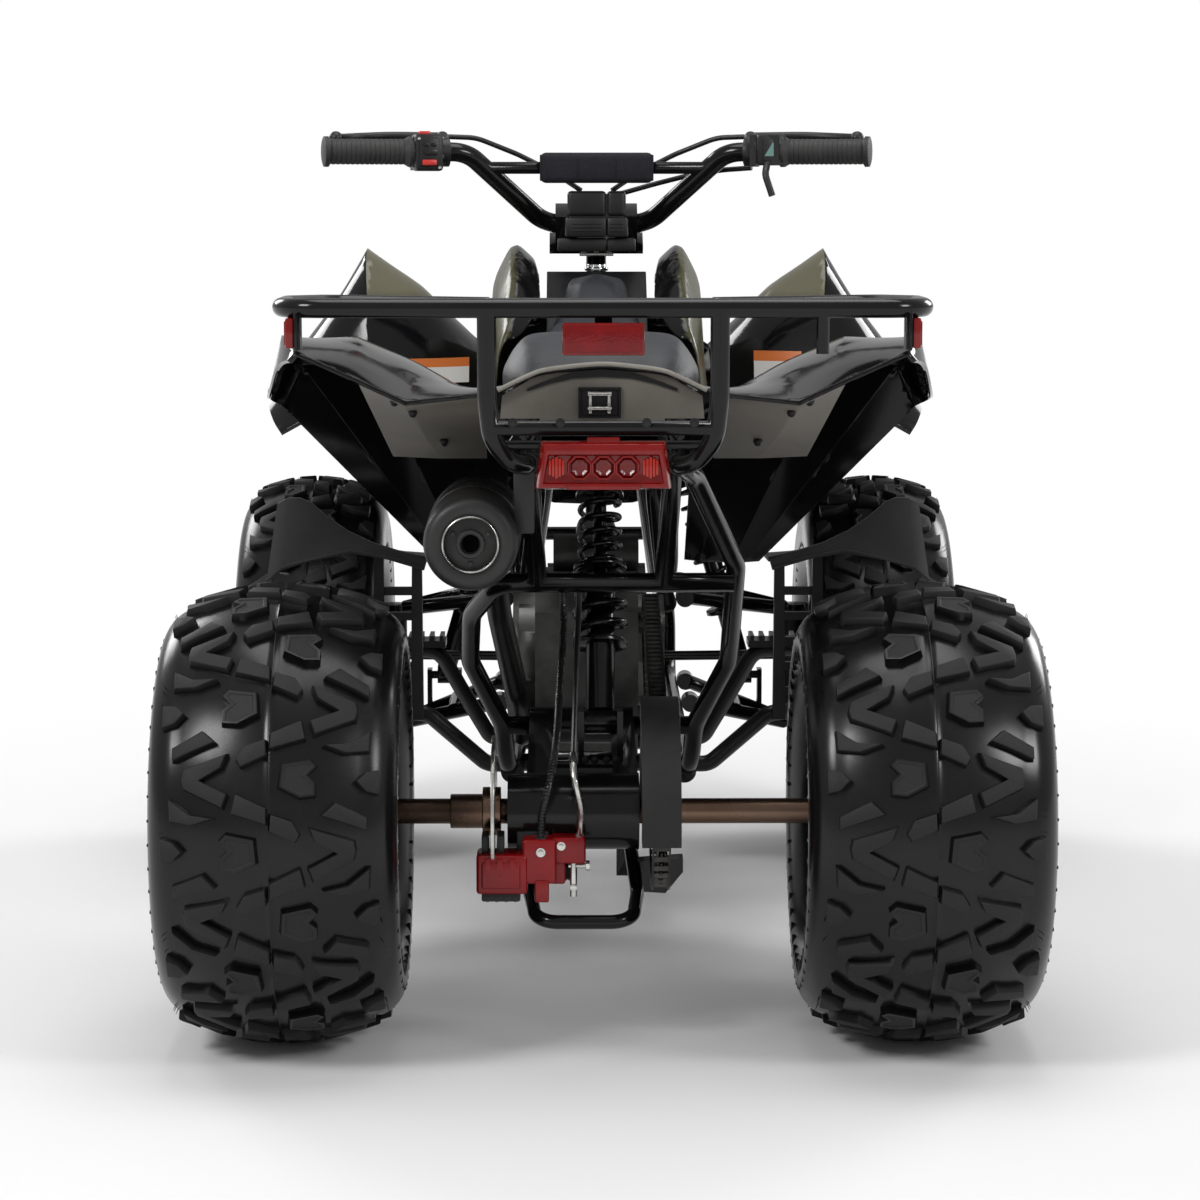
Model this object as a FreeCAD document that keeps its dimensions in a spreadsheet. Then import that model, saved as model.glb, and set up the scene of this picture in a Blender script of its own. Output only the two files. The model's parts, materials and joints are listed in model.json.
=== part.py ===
import FreeCAD
import Part
import Sketcher
import math
import os

# Quad bike, sport style, 125 cc class, in millimetres.
# Frame: X to the right as seen from behind, Y forwards, Z up, origin on the ground
# under the middle of the vehicle's length and width.

os.makedirs("parts", exist_ok=True)
doc = FreeCAD.newDocument("quad_bike")
Vec = FreeCAD.Vector

# Driving dimensions
SIZES = {
    "overall_length": 1500.0,
    "wheelbase": 980.0,
    "wheel_middle_y": -31.0,
    "rear_track": 624.0,
    "front_track": 708.0,
    "rear_tyre_radius": 229.0,
    "rear_tyre_width": 236.0,
    "front_tyre_radius": 241.0,
    "front_tyre_width": 178.0,
    "bead_radius": 101.6,
    "rear_rim_width": 178.0,
    "front_rim_width": 140.0,
    "rim_flange": 10.0,
    "rim_well_depth": 17.0,
    "rim_wall": 3.0,
    "rim_vent_radius": 12.0,
    "axle_radius": 12.5,
    "axle_nut_radius": 20.0,
    "hub_sleeve_radius": 21.0,
    "hub_flange_radius": 66.0,
    "hub_flange_thickness": 6.0,
    "wheel_seat_offset": 12.0,
    "lock_sleeve_radius": 17.0,
    "disc_radius": 75.0,
    "disc_thickness": 3.6,
    "disc_x": -107.0,
    "disc_hole_radius": 4.5,
    "sprocket_x": 58.0,
    "chain_pitch": 12.7,
    "sprocket_teeth": 36.0,
    "drive_teeth": 15.0,
    "sprocket_thickness": 6.0,
    "tooth_rise": 2.3,
    "chain_width": 18.0,
    "drive_sprocket_y": -110.0,
    "drive_sprocket_z": 365.0,
    "carrier_left": -93.0,
    "carrier_right": 37.0,
    "carrier_radius": 38.0,
    "running_gap": 0.2,
    "seat_gap": 0.3,
    "rail_radius": 13.0,
    "strut_radius": 10.0,
    "seat_rail_radius": 11.0,
    "rail_x": 95.0,
    "rail_z": 205.0,
    "seat_rail_x": 72.0,
    "seat_rail_z": 584.0,
    "arm_tube_radius": 9.0,
    "arm_bush_radius": 11.0,
    "kingpin_x": 255.0,
    "kingpin_radius": 8.0,
    "kingpin_post_radius": 15.0,
    "arm_boss_radius": 18.0,
    "arm_boss_height": 12.0,
    "lower_arm_drop": 81.0,
    "upper_arm_rise": 65.0,
    "drum_radius": 62.0,
    "stem_foot_y": 420.0,
    "stem_foot_z": 282.0,
    "stem_head_y": 178.0,
    "stem_head_z": 785.0,
    "stem_radius": 12.0,
    "steer_arm_length": 50.0,
    "steer_eye_spread": 11.0,
    "tie_rod_radius": 6.0,
    "tie_eye_radius": 9.5,
    "tie_stud_radius": 4.0,
    "bar_radius": 11.0,
    "grip_radius": 14.5,
    "grip_flange_radius": 17.5,
    "grip_length": 92.0,
    "bar_half_span": 305.0,
    "bar_grip_z": 886.0,
    "bar_grip_y": 62.0,
    "bar_rise_x": 150.0,
    "bar_low_x": 46.0,
    "pad_half_length": 66.0,
    "pad_height": 36.0,
    "pad_depth": 34.0,
    "cross_bar_z": 868.0,
    "rack_bar_radius": 9.0,
    "rack_half_width": 300.0,
    "rack_height": 733.0,
    "rack_rear_y": -700.0,
    "panel_wall": 4.0,
    "muffler_radius": 46.0,
    "muffler_length": 270.0,
    "muffler_x": -127.0,
    "muffler_z": 503.0,
    "muffler_rear_y": -600.0,
    "pipe_radius": 13.0,
    "engine_y": -10.0,
    "engine_z": 322.0,
    "bore_half_width": 58.0,
    "fin_count": 9.0,
    "bumper_radius": 12.0,
    "tyre_wall": 12.0,
    "disc_hub_radius": 24.0,
    "roller_radius": 4.0,
    "pivot_y": -185.0,
    "pivot_z": 262.0,
    "tail_y": -640.0,
    "rear_cross_y": -405.0,
    "rear_cross_z": 444.0,
    "shock_pin_radius": 6.0,
    "shock_foot_y": -400.0,
    "shock_foot_z": 300.0,
    "shock_top_y": -290.0,
    "shock_top_z": 545.0,
    "front_shock_foot_x": 192.0,
    "front_shock_foot_z": 226.0,
    "front_shock_head_x": 112.0,
    "front_shock_head_z": 505.0,
    "skid_z": 126.0,
    "chain_plate": 1.8,
    "chain_plate_height": 11.0,
    "pad_gap": 1.5,
    "tread_depth": 8.5,
    "rear_tread_repeats": 10.0,
    "front_tread_repeats": 11.0,
    "cable_radius": 3.0,
    "tank_half_width": 58.0,
    "bar_bend": 44.0,
    "cap_radius": 14.0,
    "cap_y": 156.0,
    "tank_top_z": 748.0,
}

sheet = doc.addObject("Spreadsheet::Sheet", "Sizes")
for row, (alias, number) in enumerate(SIZES.items(), start=1):
    sheet.set(f"A{row}", alias)
    sheet.set(f"B{row}", str(number))
    sheet.setAlias(f"B{row}", alias)
doc.recompute()


class Size:
    """A length that knows its number and the formula that binds it to the sheet."""

    def __init__(self, number, formula):
        self.number = number
        self.formula = formula

    def __float__(self):
        return self.number

    def __neg__(self):
        return Size(-self.number, f"(-1 * {self.formula})")

    def __add__(self, other):
        other = as_size(other)
        return Size(self.number + other.number, f"({self.formula} + {other.formula})")

    def __radd__(self, other):
        return as_size(other) + self

    def __sub__(self, other):
        other = as_size(other)
        return Size(self.number - other.number, f"({self.formula} - {other.formula})")

    def __rsub__(self, other):
        return as_size(other) - self

    def __mul__(self, other):
        other = as_size(other)
        return Size(self.number * other.number, f"({self.formula} * {other.formula})")

    def __rmul__(self, other):
        return as_size(other) * self

    def __truediv__(self, other):
        other = as_size(other)
        return Size(self.number / other.number, f"({self.formula} / {other.formula})")


def as_size(value):
    if isinstance(value, Size):
        return value
    return Size(float(value), f"({float(value)})")


def size(alias):
    return Size(float(getattr(sheet, alias)), "Sizes." + alias)


def num(alias):
    return float(getattr(sheet, alias))


def bind(thing, prop, value):
    """Tie one property of an object to the sheet."""
    thing.setExpression(prop, as_size(value).formula)


def place(thing, x, y, z):
    bind(thing, "Placement.Base.x", x)
    bind(thing, "Placement.Base.y", y)
    bind(thing, "Placement.Base.z", z)


# Primitives bound to the sheet
TURNS = {
    "X": FreeCAD.Rotation(Vec(0, 1, 0), 90),
    "Y": FreeCAD.Rotation(Vec(1, 0, 0), -90),
    "Z": FreeCAD.Rotation(),
}


def cylinder(label, radius, length, at, axis="X"):
    """A round bar that starts at a point and runs along +X, +Y or +Z."""
    bar = doc.addObject("Part::Cylinder", label)
    bind(bar, "Radius", radius)
    bind(bar, "Height", length)
    bar.Placement = FreeCAD.Placement(Vec(0, 0, 0), TURNS[axis])
    place(bar, *at)
    return bar


def fused(label, pieces):
    whole = doc.addObject("Part::MultiFuse", label)
    whole.Shapes = pieces
    whole.Label = label
    return whole


def cut(label, base, tool):
    whole = doc.addObject("Part::Cut", label)
    whole.Base = base
    whole.Tool = tool
    whole.Label = label
    return whole


def feature(label, shape):
    """A solid whose shape is worked out below, from sizes that are read from the sheet."""
    thing = doc.addObject("Part::Feature", label)
    thing.Shape = shape
    thing.Label = label
    return thing


# Sketch based bodies
def origin_part(body, role):
    for item in body.Origin.OriginFeatures:
        if item.Role == role:
            return item
    raise ValueError(role)


def outline(body, role, name, corners):
    """A closed sketch. Each corner is (x, y) or (x, y, rise), where rise is how far the
    stretch to the next corner bows out to the left of its chord."""
    sketch = body.newObject("Sketcher::SketchObject", name)
    sketch.AttachmentSupport = [(origin_part(body, role), "")]
    sketch.MapMode = "FlatFace"
    count = len(corners)
    points = [Vec(float(c[0]), float(c[1]), 0) for c in corners]
    first = []
    last = []
    for i in range(count):
        start = points[i]
        end = points[(i + 1) % count]
        if len(corners[i]) == 2:
            sketch.addGeometry(Part.LineSegment(start, end), False)
            first.append(1)
            last.append(2)
            continue
        rise = float(corners[i][2])
        along = end - start
        left = Vec(-along.y, along.x, 0).normalize()
        middle = (start + end) * 0.5 + left * rise
        sketch.addGeometry(Part.Arc(start, middle, end), False)
        forwards = sketch.getPoint(i, 1).distanceToPoint(start) < 1e-6
        first.append(1 if forwards else 2)
        last.append(2 if forwards else 1)
    for i in range(count):
        following = (i + 1) % count
        sketch.addConstraint(Sketcher.Constraint(
            "Coincident", i, last[i], following, first[following]))
    for i, corner in enumerate(corners):
        for value, kind, axis_line in ((corner[0], "DistanceX", -2), (corner[1], "DistanceY", -1)):
            if float(value) == 0.0:
                sketch.addConstraint(Sketcher.Constraint("PointOnObject", i, first[i], axis_line))
                continue
            index = sketch.addConstraint(Sketcher.Constraint(
                kind, -1, 1, i, first[i], float(value)))
            sketch.setExpression(f"Constraints[{index}]", as_size(value).formula)
        if len(corner) == 3:
            after = corners[(i + 1) % count]
            run_x = as_size(after[0]) - corner[0]
            run_y = as_size(after[1]) - corner[1]
            rise = as_size(abs(float(corner[2])))
            radius = (run_x * run_x + run_y * run_y) / (8 * rise) + rise / 2
            index = sketch.addConstraint(Sketcher.Constraint("Radius", i, float(radius)))
            sketch.setExpression(f"Constraints[{index}]", radius.formula)
    return sketch


def ring_of_holes(body, name, radius, pitch_radius, count, depth):
    """Round holes about the body's X axis, cut both ways from its YZ plane."""
    sketch = body.newObject("Sketcher::SketchObject", name + "_sketch")
    sketch.AttachmentSupport = [(origin_part(body, "YZ_Plane"), "")]
    sketch.MapMode = "FlatFace"
    sketch.addGeometry(Part.Circle(Vec(float(pitch_radius), 0, 0), Vec(0, 0, 1), float(radius)), False)
    sketch.addConstraint(Sketcher.Constraint("PointOnObject", 0, 3, -1))
    index = sketch.addConstraint(Sketcher.Constraint("DistanceX", -1, 1, 0, 3, float(pitch_radius)))
    sketch.setExpression(f"Constraints[{index}]", as_size(pitch_radius).formula)
    index = sketch.addConstraint(Sketcher.Constraint("Radius", 0, float(radius)))
    sketch.setExpression(f"Constraints[{index}]", as_size(radius).formula)
    pocket = body.newObject("PartDesign::Pocket", name)
    pocket.Profile = sketch
    pocket.Midplane = True
    bind(pocket, "Length", depth)
    doc.recompute()
    pattern = body.newObject("PartDesign::PolarPattern", name + "_ring")
    pattern.Originals = [pocket]
    pattern.Axis = (origin_part(body, "X_Axis"), [""])
    pattern.Angle = 360
    pattern.Occurrences = count
    body.Tip = pattern
    doc.recompute()
    return pattern


def turned(label, corners, centre):
    """A body turned about its own X axis from one half outline: x along the axle, y outwards."""
    body = doc.addObject("PartDesign::Body", label)
    body.Label = label
    sketch = outline(body, "XY_Plane", label + "_outline", corners)
    turn = body.newObject("PartDesign::Revolution", label + "_turn")
    turn.Profile = sketch
    turn.ReferenceAxis = (sketch, ["H_Axis"])
    turn.Angle = 360
    body.Tip = turn
    place(body, *centre)
    doc.recompute()
    return body


# Swept tubes and moulded panels
def tube_path(points, bend):
    """Straight runs joined by tangent arcs."""
    points = [Vec(*p) for p in points]
    edges = []
    at = points[0]
    for i in range(1, len(points) - 1):
        before = (points[i - 1] - points[i]).normalize()
        after = (points[i + 1] - points[i]).normalize()
        angle = before.getAngle(after)
        turn = math.pi - angle
        if turn < 0.02:
            continue
        room = min((points[i - 1] - points[i]).Length, (points[i + 1] - points[i]).Length) * 0.48
        radius = min(bend, room / math.tan(turn / 2))
        trim = radius * math.tan(turn / 2)
        start = points[i] + before * trim
        end = points[i] + after * trim
        middle_way = (before + after).normalize()
        centre = points[i] + middle_way * (radius / math.cos(turn / 2))
        middle = centre - middle_way * radius
        edges.append(Part.LineSegment(at, start).toShape())
        edges.append(Part.Arc(start, middle, end).toShape())
        at = end
    edges.append(Part.LineSegment(at, points[-1]).toShape())
    return Part.Wire(edges)


def tube(points, radius, bend=60.0):
    path = tube_path(points, bend)
    start = Vec(*points[0])
    way = (Vec(*points[1]) - start).normalize()
    ring = Part.Wire([Part.Circle(start, way, radius).toShape()])
    return path.makePipeShell([ring], True, False)


def rod(a, b, radius):
    a = Vec(*a)
    b = Vec(*b)
    return Part.makeCylinder(radius, (b - a).Length, a, (b - a).normalize())


def joined(shapes):
    whole = shapes[0]
    if len(shapes) > 1:
        whole = shapes[0].multiFuse(shapes[1:])
    return whole.removeSplitter()


def clear_of(shape, others, shift):
    """The shape trimmed by its neighbours, with the seat gap left along the shift."""
    for other in others:
        moved = other.copy()
        moved.translate(Vec(*shift) * num("seat_gap"))
        shape = shape.cut(other).cut(moved)
    return max(shape.Solids, key=lambda solid: solid.Volume)


def mirrored(shape):
    return shape.mirror(Vec(0, 0, 0), Vec(1, 0, 0))


def both_sides(shape):
    """The right-hand solid and its twin, apart from each other."""
    return Part.makeCompound([shape, mirrored(shape)])


def flip(points):
    return [(-x, y, z) for x, y, z in points]


def inward(line, wall):
    """An open line in a plane, shifted to its right by the wall."""
    shifted = []
    for i, (x, z) in enumerate(line):
        ways = []
        if i > 0:
            ways.append((x - line[i - 1][0], z - line[i - 1][1]))
        if i < len(line) - 1:
            ways.append((line[i + 1][0] - x, line[i + 1][1] - z))
        normals = []
        for dx, dz in ways:
            length = math.hypot(dx, dz)
            normals.append((dz / length, -dx / length))
        nx = sum(n[0] for n in normals) / len(normals)
        nz = sum(n[1] for n in normals) / len(normals)
        scale = wall / (nx * nx + nz * nz)
        shifted.append((x + nx * scale, z + nz * scale))
    return shifted


def moulded(stations, wall, ruled=False):
    """A panel of even wall through upright sections. Each station is (y, line of (x, z))."""
    wires = []
    for y, line in stations:
        ring = list(line) + list(reversed(inward(line, wall)))
        points = [Vec(x, y, z) for x, z in ring]
        wires.append(Part.makePolygon(points + [points[0]]))
    return Part.makeLoft(wires, True, ruled)


def ribbon(edge_a, edge_b, shift):
    """A plate between two edge lines, as thick as the shift."""
    shift = Vec(*shift)
    wires = []
    for a, b in zip(edge_a, edge_b):
        a = Vec(*a)
        b = Vec(*b)
        wires.append(Part.makePolygon([a, b, b + shift, a + shift, a]))
    return Part.makeLoft(wires, True, True)


def slab(corners, low, high, axis="Y"):
    """A flat plate between two planes, from its outline."""
    if axis == "Y":
        points = [Vec(a, low, b) for a, b in corners]
        way = Vec(0, high - low, 0)
    elif axis == "X":
        points = [Vec(low, a, b) for a, b in corners]
        way = Vec(high - low, 0, 0)
    else:
        points = [Vec(a, b, low) for a, b in corners]
        way = Vec(0, 0, high - low)
    return Part.Face(Part.makePolygon(points + [points[0]])).extrude(way)


# Places that several pieces share
rear_y = num("wheel_middle_y") - num("wheelbase") / 2
front_y = num("wheel_middle_y") + num("wheelbase") / 2
rear_z = num("rear_tyre_radius")
front_z = num("front_tyre_radius")
rear_axle_y = size("wheel_middle_y") - size("wheelbase") / 2
front_axle_y = size("wheel_middle_y") + size("wheelbase") / 2
nodes = {}


# Wheels
SHOULDER = 0.75
CROWN_SHARE = 0.076

# Corners of the lugs of half a repeat, across the tyre and along it, at the rear tyre's size
LUGS = [
    [(10, -8), (12, 15), (38, 20), (44, 6), (30, -18)],
    [(-29, -14), (-2, -27), (-2, -43), (-33, -32)],
    [(3, -34), (22, -40), (27, -57), (3, -49)],
    [(-38, 25), (-43, 12), (-62, 0), (-43, -12), (-38, -25), (-82, 0)],
    [(-49, 37), (-61, 50), (-91, 34), (-90, 20)],
    [(-49, -37), (-90, -20), (-91, -34), (-61, -50)],
]


def carcass(label, side, track, radius, width, rim_width, axle_y):
    """A balloon tyre without its lugs: bead, bulging side wall, round shoulder and crown."""
    half = width / 2
    bead = size("bead_radius") + size("seat_gap")
    bead_half = rim_width / 2 - size("rim_wall") - 1
    waist = (radius + bead) / 2
    wall = size("tyre_wall")
    lip = size("bead_radius") + size("rim_flange") + 2
    crown = width * CROWN_SHARE
    shoulder = radius - size("tread_depth") - crown
    edge = half * SHOULDER
    corners = [
        (-bead_half, bead),
        (-bead_half, lip, 9),
        (-half, waist, 9),
        (-edge, shoulder, crown),
        (edge, shoulder, 9),
        (half, waist, 9),
        (bead_half, lip),
        (bead_half, bead),
        (bead_half - wall, bead),
        (bead_half - wall, lip, -8),
        (half - wall, waist, -8),
        (edge - 4, shoulder - 11, 4 - crown),
        (4 - edge, shoulder - 11, -8),
        (wall - half, waist, -8),
        (wall - bead_half, lip),
        (wall - bead_half, bead),
    ]
    return turned(label, corners, (side * track / 2, axle_y, radius))


def lug(corners, radius, half):
    """One drafted block, stood square on the crown at the middle of its corners."""
    depth = num("tread_depth")
    edge = half * SHOULDER
    rise = half * 2 * CROWN_SHARE
    curve = (edge * edge + rise * rise) / (2 * rise)
    x = sum(corner[0] for corner in corners) / len(corners)
    s = sum(corner[1] for corner in corners) / len(corners)
    lean = math.asin(x / curve)
    foot = Vec(x, 0, radius - depth - curve + curve * math.cos(lean))
    out = Vec(math.sin(lean), 0, math.cos(lean))
    across = Vec(math.cos(lean), 0, -math.sin(lean))
    along = Vec(0, 1, 0)
    wires = []
    for height, spread in ((-5, 1.06), (depth - 0.9, 0.88)):
        ring = [foot + out * height + across * ((cx - x) * spread / math.cos(lean))
                + along * ((cs - s) * spread) for cx, cs in corners]
        wires.append(Part.makePolygon(ring + [ring[0]]))
    block = Part.makeLoft(wires, True, True)
    block.rotate(Vec(0, 0, 0), Vec(1, 0, 0), -math.degrees(s / radius))
    return block


def tread(radius, width, repeats):
    """All the lugs of a tyre. Every half repeat is the mirror image of the one before."""
    across = width / num("rear_tyre_width")
    turn = 360 / repeats
    pitch = 2 * math.pi * num("rear_tyre_radius") / num("rear_tread_repeats")
    along = 2 * math.pi * radius / repeats / pitch
    blocks = []
    for corners in LUGS:
        one = lug([(x * across, s * along) for x, s in corners], radius, width / 2)
        twin = mirrored(one)
        twin.rotate(Vec(0, 0, 0), Vec(1, 0, 0), turn / 2)
        for first in (one, twin):
            for i in range(repeats):
                copy = first.copy()
                copy.rotate(Vec(0, 0, 0), Vec(1, 0, 0), turn * i)
                blocks.append(copy)
    return blocks


def tyre_pair(axle, track, radius, width, rim_width, axle_y, repeats):
    """The left tyre, its lugs fused to the carcass, and the right one as its mirror image."""
    plain = carcass(f"{axle}_carcass", -1, track, radius, width, rim_width, axle_y)
    blocks = tread(float(radius), float(width), repeats)
    centre = Vec(-float(track) / 2, float(axle_y), float(radius))
    for block in blocks:
        block.translate(centre)
    left = feature(f"{axle}_tyre_left", plain.Shape.multiFuse(blocks))
    right = doc.addObject("Part::Mirroring", f"{axle}_tyre_right")
    right.Source = left
    right.Normal = Vec(1, 0, 0)
    nodes[f"{axle}_tyre_left"] = left
    nodes[f"{axle}_tyre_right"] = right


def rim(label, side, width, track, axle_y, axle_z):
    """A steel rim: flanges, bead seats, a dropped well and a centre plate with vents."""
    flange = size("bead_radius") + size("rim_flange")
    seat = size("bead_radius")
    well = size("bead_radius") - size("rim_well_depth")
    wall = size("rim_wall")
    half = width / 2
    hub = size("axle_radius") + size("running_gap")
    plate = size("wheel_seat_offset") * side
    ledge = half * 0.5
    drop = half * 0.38
    corners = [
        (-half, flange), (wall - half, flange), (wall - half, seat), (-ledge, seat), (-drop, well),
        (drop, well), (ledge, seat), (half - wall, seat), (half - wall, flange), (half, flange),
        (half, seat - wall), (ledge, seat - wall), (drop, well - wall),
        (plate + wall, well - wall), (plate + wall, hub), (plate - wall, hub),
        (plate - wall, well - wall), (-drop, well - wall), (-ledge, seat - wall),
        (-half, seat - wall),
    ]
    body = turned(label, corners, (side * track / 2, axle_y, axle_z))
    vent = size("rim_vent_radius")
    ring_of_holes(body, label + "_vents", vent, well - wall - vent - 4, 8, width)
    return body


tyre_pair("rear", size("rear_track"), size("rear_tyre_radius"), size("rear_tyre_width"),
          size("rear_rim_width"), rear_axle_y, int(num("rear_tread_repeats")))
tyre_pair("front", size("front_track"), size("front_tyre_radius"), size("front_tyre_width"),
          size("front_rim_width"), front_axle_y, int(num("front_tread_repeats")))
rear_rim_pair = [
    rim("rear_rim_left", -1, size("rear_rim_width"), size("rear_track"), rear_axle_y,
        size("rear_tyre_radius")),
    rim("rear_rim_right", 1, size("rear_rim_width"), size("rear_track"), rear_axle_y,
        size("rear_tyre_radius")),
]
nodes["rear_rims"] = fused("rear_rims", rear_rim_pair)


# Rear axle: shaft, hubs, lock sleeve, brake disc and sprocket
def rear_axle():
    plate = size("rear_track") / 2 + size("wheel_seat_offset")
    wall = size("rim_wall")
    end = plate + wall + 20
    at_axle = (rear_axle_y, size("rear_tyre_radius"))
    pieces = [cylinder("shaft", size("axle_radius"), end * 2, (-end, *at_axle))]
    for side in (-1, 1):
        flange = size("hub_flange_thickness")
        inner = side * (plate - wall - flange / 2) - flange / 2
        pieces.append(cylinder("hub_flange", size("hub_flange_radius"), flange, (inner, *at_axle)))
        sleeve = side * (plate - wall - 25) - 25
        pieces.append(cylinder("hub_sleeve", size("hub_sleeve_radius"), 50, (sleeve, *at_axle)))
        nut = side * (plate + wall + 6) - 6
        pieces.append(cylinder("axle_nut", size("axle_nut_radius"), 12, (nut, *at_axle)))
    pieces.append(cylinder("lock_sleeve", size("lock_sleeve_radius"), 32, (-150, *at_axle)))
    disc_hub = size("disc_hub_radius")
    pieces.append(cylinder("disc_hub", disc_hub, 18, (size("disc_x") - 11, *at_axle)))
    pieces.append(cylinder("sprocket_hub", disc_hub, 28, (size("sprocket_x") - 14, *at_axle)))
    nodes["axle_shaft"] = fused("axle_shaft", pieces)

    half = size("disc_thickness") / 2
    bore = disc_hub + size("running_gap")
    disc = turned("brake_disc", [
        (-half, bore), (-half, size("disc_radius")), (half, size("disc_radius")), (half, bore)],
        (size("disc_x"), *at_axle))
    ring_of_holes(disc, "disc_holes", size("disc_hole_radius"), size("disc_radius") - 14, 12, 20)
    nodes["brake_disc"] = disc

    pitch_radius = size("chain_pitch") / 2 / math.sin(math.pi / num("sprocket_teeth"))
    half = size("sprocket_thickness") / 2
    tip = pitch_radius + size("tooth_rise")
    wheel = turned("rear_sprocket", [
        (-half, bore), (-half, tip - 3), (-half + 2, tip), (half - 2, tip), (half, tip - 3),
        (half, bore)],
        (size("sprocket_x"), *at_axle))
    ring_of_holes(wheel, "roller_seats", size("roller_radius") + 0.6, pitch_radius,
                  int(num("sprocket_teeth")), 20)
    nodes["rear_sprocket"] = wheel


rear_axle()


# Frame
def frame():
    rail = num("rail_radius")
    strut = num("strut_radius")
    rail_x = num("rail_x")
    rail_z = num("rail_z")
    seat_x = num("seat_rail_x")
    seat_z = num("seat_rail_z")
    stem_head = Vec(0, num("stem_head_y"), num("stem_head_z"))
    stem_foot = Vec(0, num("stem_foot_y"), num("stem_foot_z"))
    stem_way = (stem_head - stem_foot).normalize()
    pivot_y = num("pivot_y")
    pivot_z = num("pivot_z")
    nose_y = front_y + 130
    tail_y = num("tail_y")
    cross_y = num("rear_cross_y")
    cross_z = num("rear_cross_z")
    pieces = []
    for side in (-1, 1):
        lower = [(rail_x, -150, rail_z), (rail_x, nose_y, rail_z), (rail_x, nose_y + 16, 290),
                 (rail_x - 8, nose_y - 30, 330), (rail_x - 8, 300, 338)]
        head = [(rail_x - 12, nose_y - 30, 330), (62, 420, 480), (40, 300, 592), (seat_x, 170, 596),
                (seat_x, 60, seat_z), (seat_x, tail_y, seat_z)]
        down = [(rail_x - 8, 300, 338), (70, 262, 480), (seat_x, 120, seat_z)]
        behind = [(rail_x, -120, rail_z), (rail_x + 6, -168, rail_z + 12), (104, pivot_y, pivot_z),
                  (138, -265, 345)]
        if side == 1:
            behind += [(138, cross_y - 3, cross_z + 18), (90, -556, 566), (seat_x, tail_y + 20, seat_z)]
        else:
            behind += [(134, cross_y + 75, cross_z - 42), (104, cross_y, cross_z), (60, cross_y, cross_z)]
        inner = [(64, cross_y, cross_z), (68, cross_y - 35, cross_z + 56), (seat_x, -500, seat_z)]
        lines = [(lower, rail, 60), (head, num("seat_rail_radius"), 70), (down, strut, 60),
                 (behind, strut, 60), (inner, strut, 40)]
        for points, radius, bend in lines:
            if side == -1:
                points = flip(points)
            pieces.append(tube(points, radius, bend))
    pieces.append(rod((-104, cross_y, cross_z), (136, cross_y, cross_z), strut))
    pieces.append(rod((-104, pivot_y, pivot_z), (104, pivot_y, pivot_z), strut))
    for floor_y in (-90, 60, 300, nose_y - 10):
        pieces.append(rod((-rail_x, floor_y, rail_z), (rail_x, floor_y, rail_z), strut))
    pieces.append(rod((-seat_x, -290, seat_z - 8), (seat_x, -290, seat_z - 8), strut))
    pieces.append(rod((-seat_x, tail_y + 15, seat_z), (seat_x, tail_y + 15, seat_z), strut))
    pieces.append(rod((-rail_x + 8, 300, 338), (rail_x - 8, 300, 338), strut))
    pieces.append(rod((-60, 410, 480), (60, 410, 480), strut))
    collar_at = stem_foot + stem_way * 250
    collar = Part.makeCylinder(22, 70, collar_at, stem_way)
    foot = Part.makeCylinder(22, 16, stem_foot - stem_way * 30, stem_way)
    web_y = collar_at.y
    web_z = collar_at.z
    pieces.append(collar)
    pieces.append(rod((-50, 355, 541), (50, 355, 541), 9))
    pieces.append(Part.makeBox(24, 60, 16, Vec(-12, web_y - 16, web_z + 24)))
    pieces.append(foot)
    pieces.append(rod((-rail_x, stem_foot.y + 13, rail_z), (rail_x, stem_foot.y + 13, rail_z), strut))
    pieces.append(Part.makeBox(20, 24, 60, Vec(-10, stem_foot.y + 1, rail_z)))
    pin = num("shock_pin_radius")
    for x in (-23, 17):
        pieces.append(Part.makeBox(6, 30, 50, Vec(x, -305, num("shock_top_z") - 14)))
    pieces.append(rod((-23, num("shock_top_y"), num("shock_top_z")),
                      (23, num("shock_top_y"), num("shock_top_z")), pin))
    whole = joined(pieces)
    bore = Part.makeCylinder(num("stem_radius") + num("running_gap"), 900,
                             stem_foot - stem_way * 20, stem_way)
    return feature("frame", whole.cut(bore))


nodes["frame"] = frame()


def front_bumper():
    radius = num("bumper_radius")
    front = num("overall_length") / 2 - radius
    seat = front_y + 130 + 16 + num("rail_radius")
    hoop = [(66, seat + 1, 262), (84, front - 50, 262), (104, front, 330), (104, front, 430),
            (70, front - 18, 512)]
    loop = hoop + list(reversed(flip(hoop)))
    pieces = [tube(loop, radius, 60)]
    pieces.append(rod((-104, front, 380), (104, front, 380), radius - 3))
    for side in (-1, 1):
        pieces.append(Part.makeBox(34, 80, 30, Vec(side * 80 - 17, seat - 18, 247)))
    return feature("front_bumper", clear_of(joined(pieces), [nodes["frame"].Shape], (0, 1, 0)))


nodes["front_bumper"] = front_bumper()


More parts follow.
